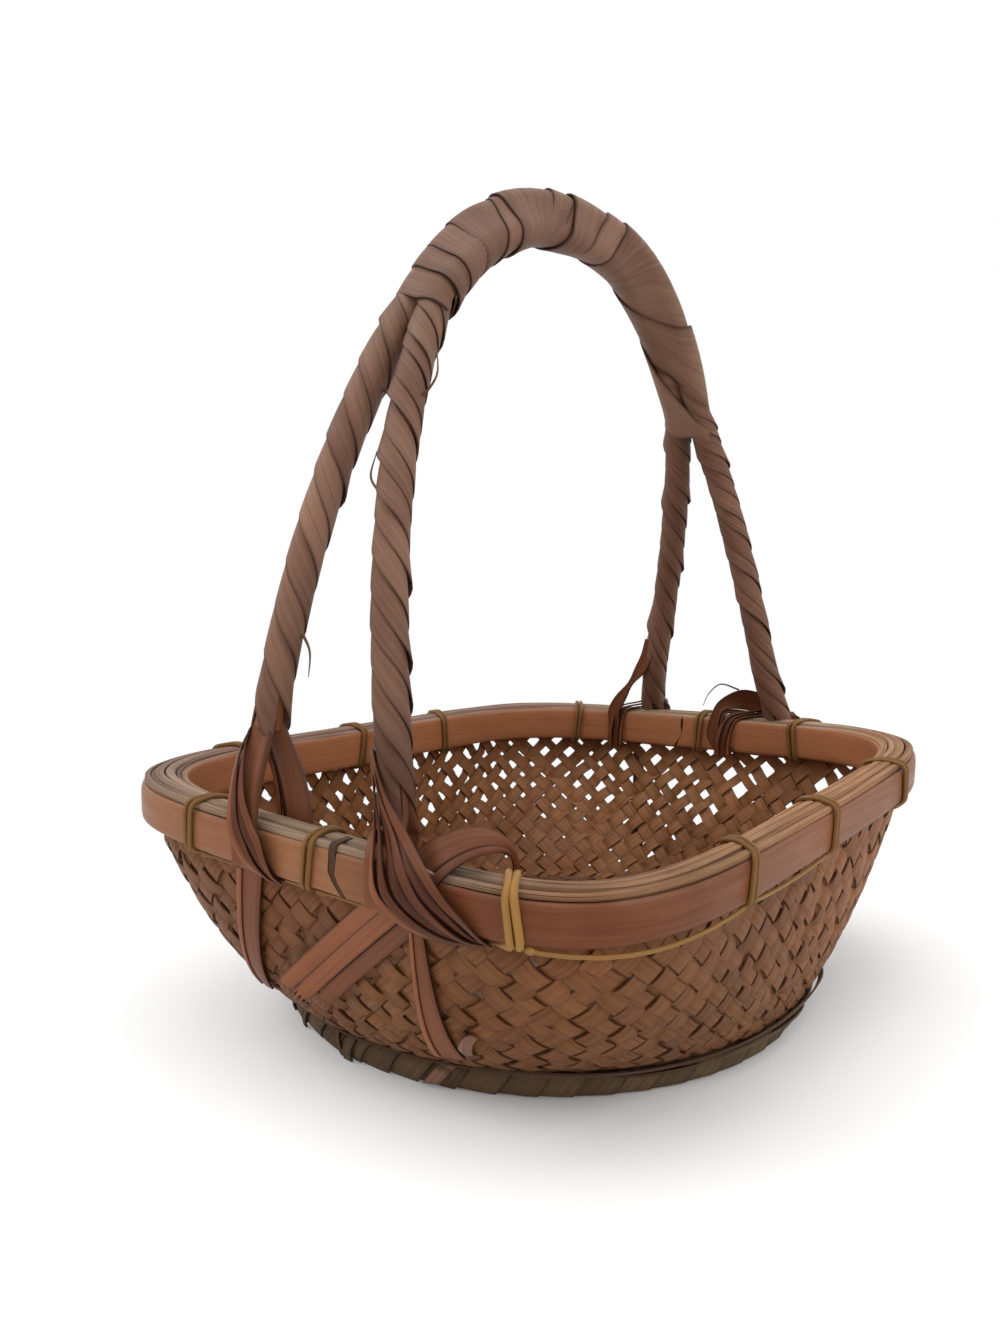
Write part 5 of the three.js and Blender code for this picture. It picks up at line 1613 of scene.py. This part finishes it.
class BASKET_OT_bows(BasketOperator, bpy.types.Operator):
    """Make the bows of the lashings and the wide frayed tail of the near bow"""

    bl_idname = "basket.bows"
    bl_label = "Bows and Tail"

    def make(self, shape, sizes, colours):
        material = lash_material(colours)
        near_front = [(15.1, -1, -3.5), (18.6, 0.2, 1.4), (23, 2.3, 4.7), (28, 4.5, 7), (33, 7.5, 7.6),
                      (36.6, 11, 6), (37.8, 12.4, 2), (37.5, 12.6, -5)]
        near_back = [(4.5, 5, -0.5), (10.8, 6, 6.2), (16.2, 7, 9.3), (23.2, 8, 11.9), (30, 9.2, 12.2),
                     (35.6, 10.8, 9.8), (39.2, 12.8, 4.5), (39.6, 12.9, -4)]
        far_front = [(2, 2.5, 0.5), (7, 3, 0.8), (12.5, 5, 2.2), (17, 10.8, 4.2), (18.2, 12.5, 1.4),
                     (17.2, 12.5, -5.2), (11.9, 12.1, -10.8)]
        far_back = [(1.5, 4.5, 9.5), (7, 6, 12.2), (14, 8.5, 12.9), (21, 12, 8.7), (24.5, 12.8, 2.3),
                    (25.9, 12.8, -5), (21.5, 12.3, -11.2)]
        for name, foot, edges in (
            ("near", shape.feet["near_inner"], (near_front, near_back)),
            ("far", dict(shape.feet["far_outer"], hand=1), (far_front, far_back)),
        ):
            front, back = (shape.rim_line(foot, edge) for edge in edges)
            bands = []
            for share, tone in (((0.0, 0.24), 0.0), ((0.27, 1.0), 0.12)):
                rule = band_rule(front, back, share, 0.35)
                bands.append(lay_strip(f"{name}_bow", 56, 5, rule, (45, 9 * (share[1] - share[0])), tone))
            piece = join_strips(f"{name}_bow", bands)
            thicken(piece, 0.6, 0.12)
            finish_piece(piece, material, "lashing", f"bow_{name}")
        tail = self.tail(shape)
        finish_piece(tail, material, "lashing", "bow_tail_near")

    def tail(self, shape):
        """Strips that slant down over the wall to a ragged edge: one split down its middle, one darker."""
        x = shape.feet["near_inner"]["x"]
        high = shape.skirt - 1.5
        slant = 0.4
        tuck = 0.2
        bands = []
        for part, (offset, width, reach, tone) in enumerate(
            ((-5.3, 5.1, 1.0, 0.75), (-0.1, 5.2, 1.02, 0.7), (5.2, 4.8, 0.93, 0.15))
        ):

            def place(along, across):
                ragged = 1 + 0.05 * np.sin(across * 19 + 2 * part) * smooth((along - 0.9) * 10)
                share = along * (reach + tuck) * ragged - tuck
                sideways = offset + (across - 0.5) * width * (1 - 0.12 * smooth((along - 0.85) * 6))
                middle = x - 5 - 32 * share + sideways * math.cos(slant)
                height = high - 26 * share - sideways * math.sin(slant)
                stand = 0.7 + 3.5 * np.clip(share, 0, 2) ** 2 + 0.35 * (1 - (2 * across - 1) ** 2)
                return shape.wall_face(middle, height, -1, stand - 0.3 * (part == 2))

            bands.append(lay_strip("near_bow_tail", 48, 6, place, (46, width), tone))
        piece = join_strips("near_bow_tail", bands)
        thicken(piece, 0.7, 0.14)
        return piece


class BASKET_OT_stay(BasketOperator, bpy.types.Operator):
    """Bend the strip that stays one far leg to the inner hoop"""

    bl_idname = "basket.stay"
    bl_label = "Leg Stay"

    def make(self, shape, sizes, colours):
        place = shape.foot_place(shape.feet["far_inner"])
        face = shape.rim_width + 1.4
        steps = (
            (0.5, 14.2, 31), (4, 14, 22), (13.5, 13.2, 10.5),
            (19, face, 2.6), (19, face, -4), (18.5, face, -12),
        )
        line = [shape.rim_along(place, along, inset, rise) for along, inset, rise in steps]
        across = np.cross(unit(np.gradient(np.array(line), axis=0)), [0.0, -1.0, 0.0])

        def width(share):
            return 5.2 - 3 * np.exp(-(((share - 0.42) / 0.12) ** 2))

        rule = ribbon_rule(line, across, width, lift=0.2)
        strip = lay_strip("far_leg_stay", 40, 4, rule, (45, 5), 0.1)
        thicken(strip, 0.7, 0.14)
        finish_piece(strip, lash_material(colours), "lashing", "leg_stay_far")


class BASKET_OT_splinters(BasketOperator, bpy.types.Operator):
    """Add the loose splinters that spring from the windings"""

    bl_idname = "basket.splinters"
    bl_label = "Splinters"

    def make(self, shape, sizes, colours):
        outer = shape.rod_line(1)
        inner = shape.rod_line(-1)
        curls = [
            (outer, 124, 0.3, (3, -1, -11), (1.5, 0, 1)),
            (inner, 184, 0.1, (4, 0, 12), (3, -1, -1)),
            (inner, 160, 3.0, (-2, 0, 11), (-3, 0, -1)),
            (outer, 188, 0.4, (3, -2, -10), (2, 0, 2)),
        ]
        strands = []
        for line, height, roll, reach, bend in curls:
            share = shape.leg_share(line, height, False)
            start = shape.rod_point(line, np.array(share), np.array(roll), np.array(shape.rod + 0.9))
            middle = start + np.array(reach) * 0.5 + np.array(bend)
            end = start + np.array(reach, float)
            points = sample_line([start, middle, end], np.linspace(0, 1, 18))
            strands.append(lay_tube("splinters", points, np.linspace(0.45, 0.12, 18), 6, (20, 2), 0.3))
        foot = dict(shape.feet["far_outer"], hand=1)
        curl = shape.rim_line(foot, [(29, 11.5, 6.5), (26.5, 11.3, 11.3), (21, 11, 15.2), (13.5, 9.5, 13.3)])
        points = sample_line(curl, np.linspace(0, 1, 24))
        strands.append(lay_tube("splinters", points, np.linspace(0.12, 0.4, 24), 6, (30, 2), 0.2))
        piece = join_strips("splinters", strands)
        close_tube(piece)
        finish_piece(piece, wrap_material(colours), "wrapping")


# Stage.


def frame_matrix(right, up, back, place):
    """Matrix that puts an object at a place, with its own axes along three directions."""
    columns = (np.append(right, 0), np.append(up, 0), np.append(back, 0), np.append(place, 1))
    return Matrix(np.stack(columns, axis=1).tolist())


def seen_directly(tree):
    """Share of a ray that comes from the camera, a mirror or a glass."""
    ray = tree.nodes.new("ShaderNodeLightPath")
    mirrored = maths(tree, "ADD", ray.outputs["Is Camera Ray"], ray.outputs["Is Glossy Ray"])
    return maths(tree, "ADD", mirrored, ray.outputs["Is Transmission Ray"], clamp=True)


class BASKET_OT_stage(bpy.types.Operator):
    """Set the floor, the soft light and the camera"""

    bl_idname = "basket.stage"
    bl_label = "Stage"
    bl_options = {"REGISTER", "UNDO"}

    def execute(self, context):
        self.lay_floor(context.scene.basket_colours)
        self.hang_lights(context.scene)
        self.set_camera(context.scene)
        return {"FINISHED"}

    def lay_floor(self, colours):
        start_clean()
        bpy.ops.mesh.primitive_circle_add(vertices=96, radius=6, fill_type="NGON")
        floor = bpy.context.object
        floor.name = "floor"
        bpy.ops.object.mode_set(mode="EDIT")
        bpy.ops.mesh.select_all(action="SELECT")
        bpy.ops.mesh.inset(thickness=4.5)
        bpy.ops.object.mode_set(mode="OBJECT")
        material = bpy.data.materials.new("Pale floor")
        material.use_nodes = True
        tree = material.node_tree
        shader = tree.nodes["Principled BSDF"]
        shader.inputs["Base Color"].default_value = (*colours.floor, 1)
        shader.inputs["Roughness"].default_value = 0.85
        shader.inputs["Specular IOR Level"].default_value = 0.1
        white = tree.nodes.new("ShaderNodeEmission")
        white.inputs["Strength"].default_value = 1.0
        place = tree.nodes.new("ShaderNodeTexCoord").outputs["Object"]
        distance = tree.nodes.new("ShaderNodeVectorMath")
        distance.operation = "DISTANCE"
        distance.inputs[1].default_value = (0.03, 0.018, 0)
        wire(tree, place, distance.inputs[0])
        away = remap(tree, distance.outputs["Value"], 0.085, 0.24)
        share = maths(tree, "MULTIPLY", away, seen_directly(tree))
        blend = tree.nodes.new("ShaderNodeMixShader")
        wire(tree, share, blend.inputs[0])
        wire(tree, shader.outputs[0], blend.inputs[1])
        wire(tree, white.outputs[0], blend.inputs[2])
        wire(tree, blend.outputs[0], tree.nodes["Material Output"].inputs["Surface"])
        floor.data.materials.append(material)

    def hang_lights(self, scene):
        world = bpy.data.worlds.new("Soft room")
        scene.world = world
        world.use_nodes = True
        tree = world.node_tree
        room = tree.nodes["Background"]
        room.inputs["Color"].default_value = (1.0, 1.0, 1.0, 1)
        room.inputs["Strength"].default_value = 0.84
        white = tree.nodes.new("ShaderNodeBackground")
        white.inputs["Color"].default_value = (1, 1, 1, 1)
        white.inputs["Strength"].default_value = 1.0
        blend = tree.nodes.new("ShaderNodeMixShader")
        wire(tree, seen_directly(tree), blend.inputs[0])
        wire(tree, room.outputs[0], blend.inputs[1])
        wire(tree, white.outputs[0], blend.inputs[2])
        wire(tree, blend.outputs[0], tree.nodes["World Output"].inputs["Surface"])
        lamps = (
            ("key_light", (-0.75, -0.6, 1.0), 0.9, 6.0),
            ("side_light", (0.95, -0.1, 0.75), 0.9, 4.0),
            ("top_light", (0.05, -0.05, 1.25), 0.8, 4.5),
        )
        for name, place, size, power in lamps:
            lamp = bpy.data.lights.new(name, "AREA")
            lamp.size = size
            lamp.energy = power
            lamp.color = (1.0, 1.0, 0.99)
            holder = bpy.data.objects.new(name, lamp)
            scene.collection.objects.link(holder)
            away = unit(np.array(place) - np.array([0, 0, 0.1]))
            side = unit(np.cross([0, 0, 1], away))
            up = np.cross(away, side)
            holder.matrix_world = frame_matrix(side, up, away, place)
        scene.view_settings.view_transform = "Standard"

    def set_camera(self, scene):
        turn = math.radians(36.23)
        pitch = math.radians(7.96)
        roll = math.radians(0.82)
        focal_pixels = 1269.11
        place = (0.2225, -0.33511, 0.16159)
        forward = np.array([
            -math.sin(turn) * math.cos(pitch),
            math.cos(turn) * math.cos(pitch),
            -math.sin(pitch),
        ])
        right = np.array([math.cos(turn), math.sin(turn), 0])
        up = np.cross(right, forward)
        side = right * math.cos(roll) + up * math.sin(roll)
        top = up * math.cos(roll) - right * math.sin(roll)
        lens = bpy.data.cameras.new("camera")
        sensor = 36
        lens.sensor_width = sensor
        lens.lens = focal_pixels / max(PHOTO_SIZE) * sensor
        lens.clip_start = 0.01
        camera = bpy.data.objects.new("camera", lens)
        scene.collection.objects.link(camera)
        camera.matrix_world = frame_matrix(side, top, -forward, place)
        scene.camera = camera


PIECES = (
    BASKET_OT_wall,
    BASKET_OT_base,
    BASKET_OT_foot,
    BASKET_OT_hoops,
    BASKET_OT_splints,
    BASKET_OT_lacing,
    BASKET_OT_rods,
    BASKET_OT_leg_wraps,
    BASKET_OT_grip,
    BASKET_OT_lashings,
    BASKET_OT_straps,
    BASKET_OT_bows,
    BASKET_OT_stay,
    BASKET_OT_splinters,
    BASKET_OT_stage,
)


class BASKET_PT_panel(bpy.types.Panel):
    """Sizes, colours and pieces of the basket"""

    bl_idname = "BASKET_PT_panel"
    bl_label = "Flower Basket"
    bl_space_type = "VIEW_3D"
    bl_region_type = "UI"
    bl_category = "Basket"

    def draw(self, context):
        for group in (context.scene.basket_sizes, context.scene.basket_colours):
            box = self.layout.box()
            for key in group.bl_rna.properties.keys():
                if key not in {"rna_type", "name"}:
                    box.prop(group, key)
        for piece in PIECES:
            self.layout.operator(piece.bl_idname)


CLASSES = (BasketSizes, BasketColours, *PIECES, BASKET_PT_panel)


def register():
    for item in CLASSES:
        bpy.utils.register_class(item)
    bpy.types.Scene.basket_sizes = bpy.props.PointerProperty(type=BasketSizes)
    bpy.types.Scene.basket_colours = bpy.props.PointerProperty(type=BasketColours)


def unregister():
    del bpy.types.Scene.basket_colours
    del bpy.types.Scene.basket_sizes
    for item in reversed(CLASSES):
        bpy.utils.unregister_class(item)


def main():
    register()
    for piece in PIECES:
        group, name = piece.bl_idname.split(".")
        getattr(getattr(bpy.ops, group), name)()


if __name__ == "__main__":
    main()
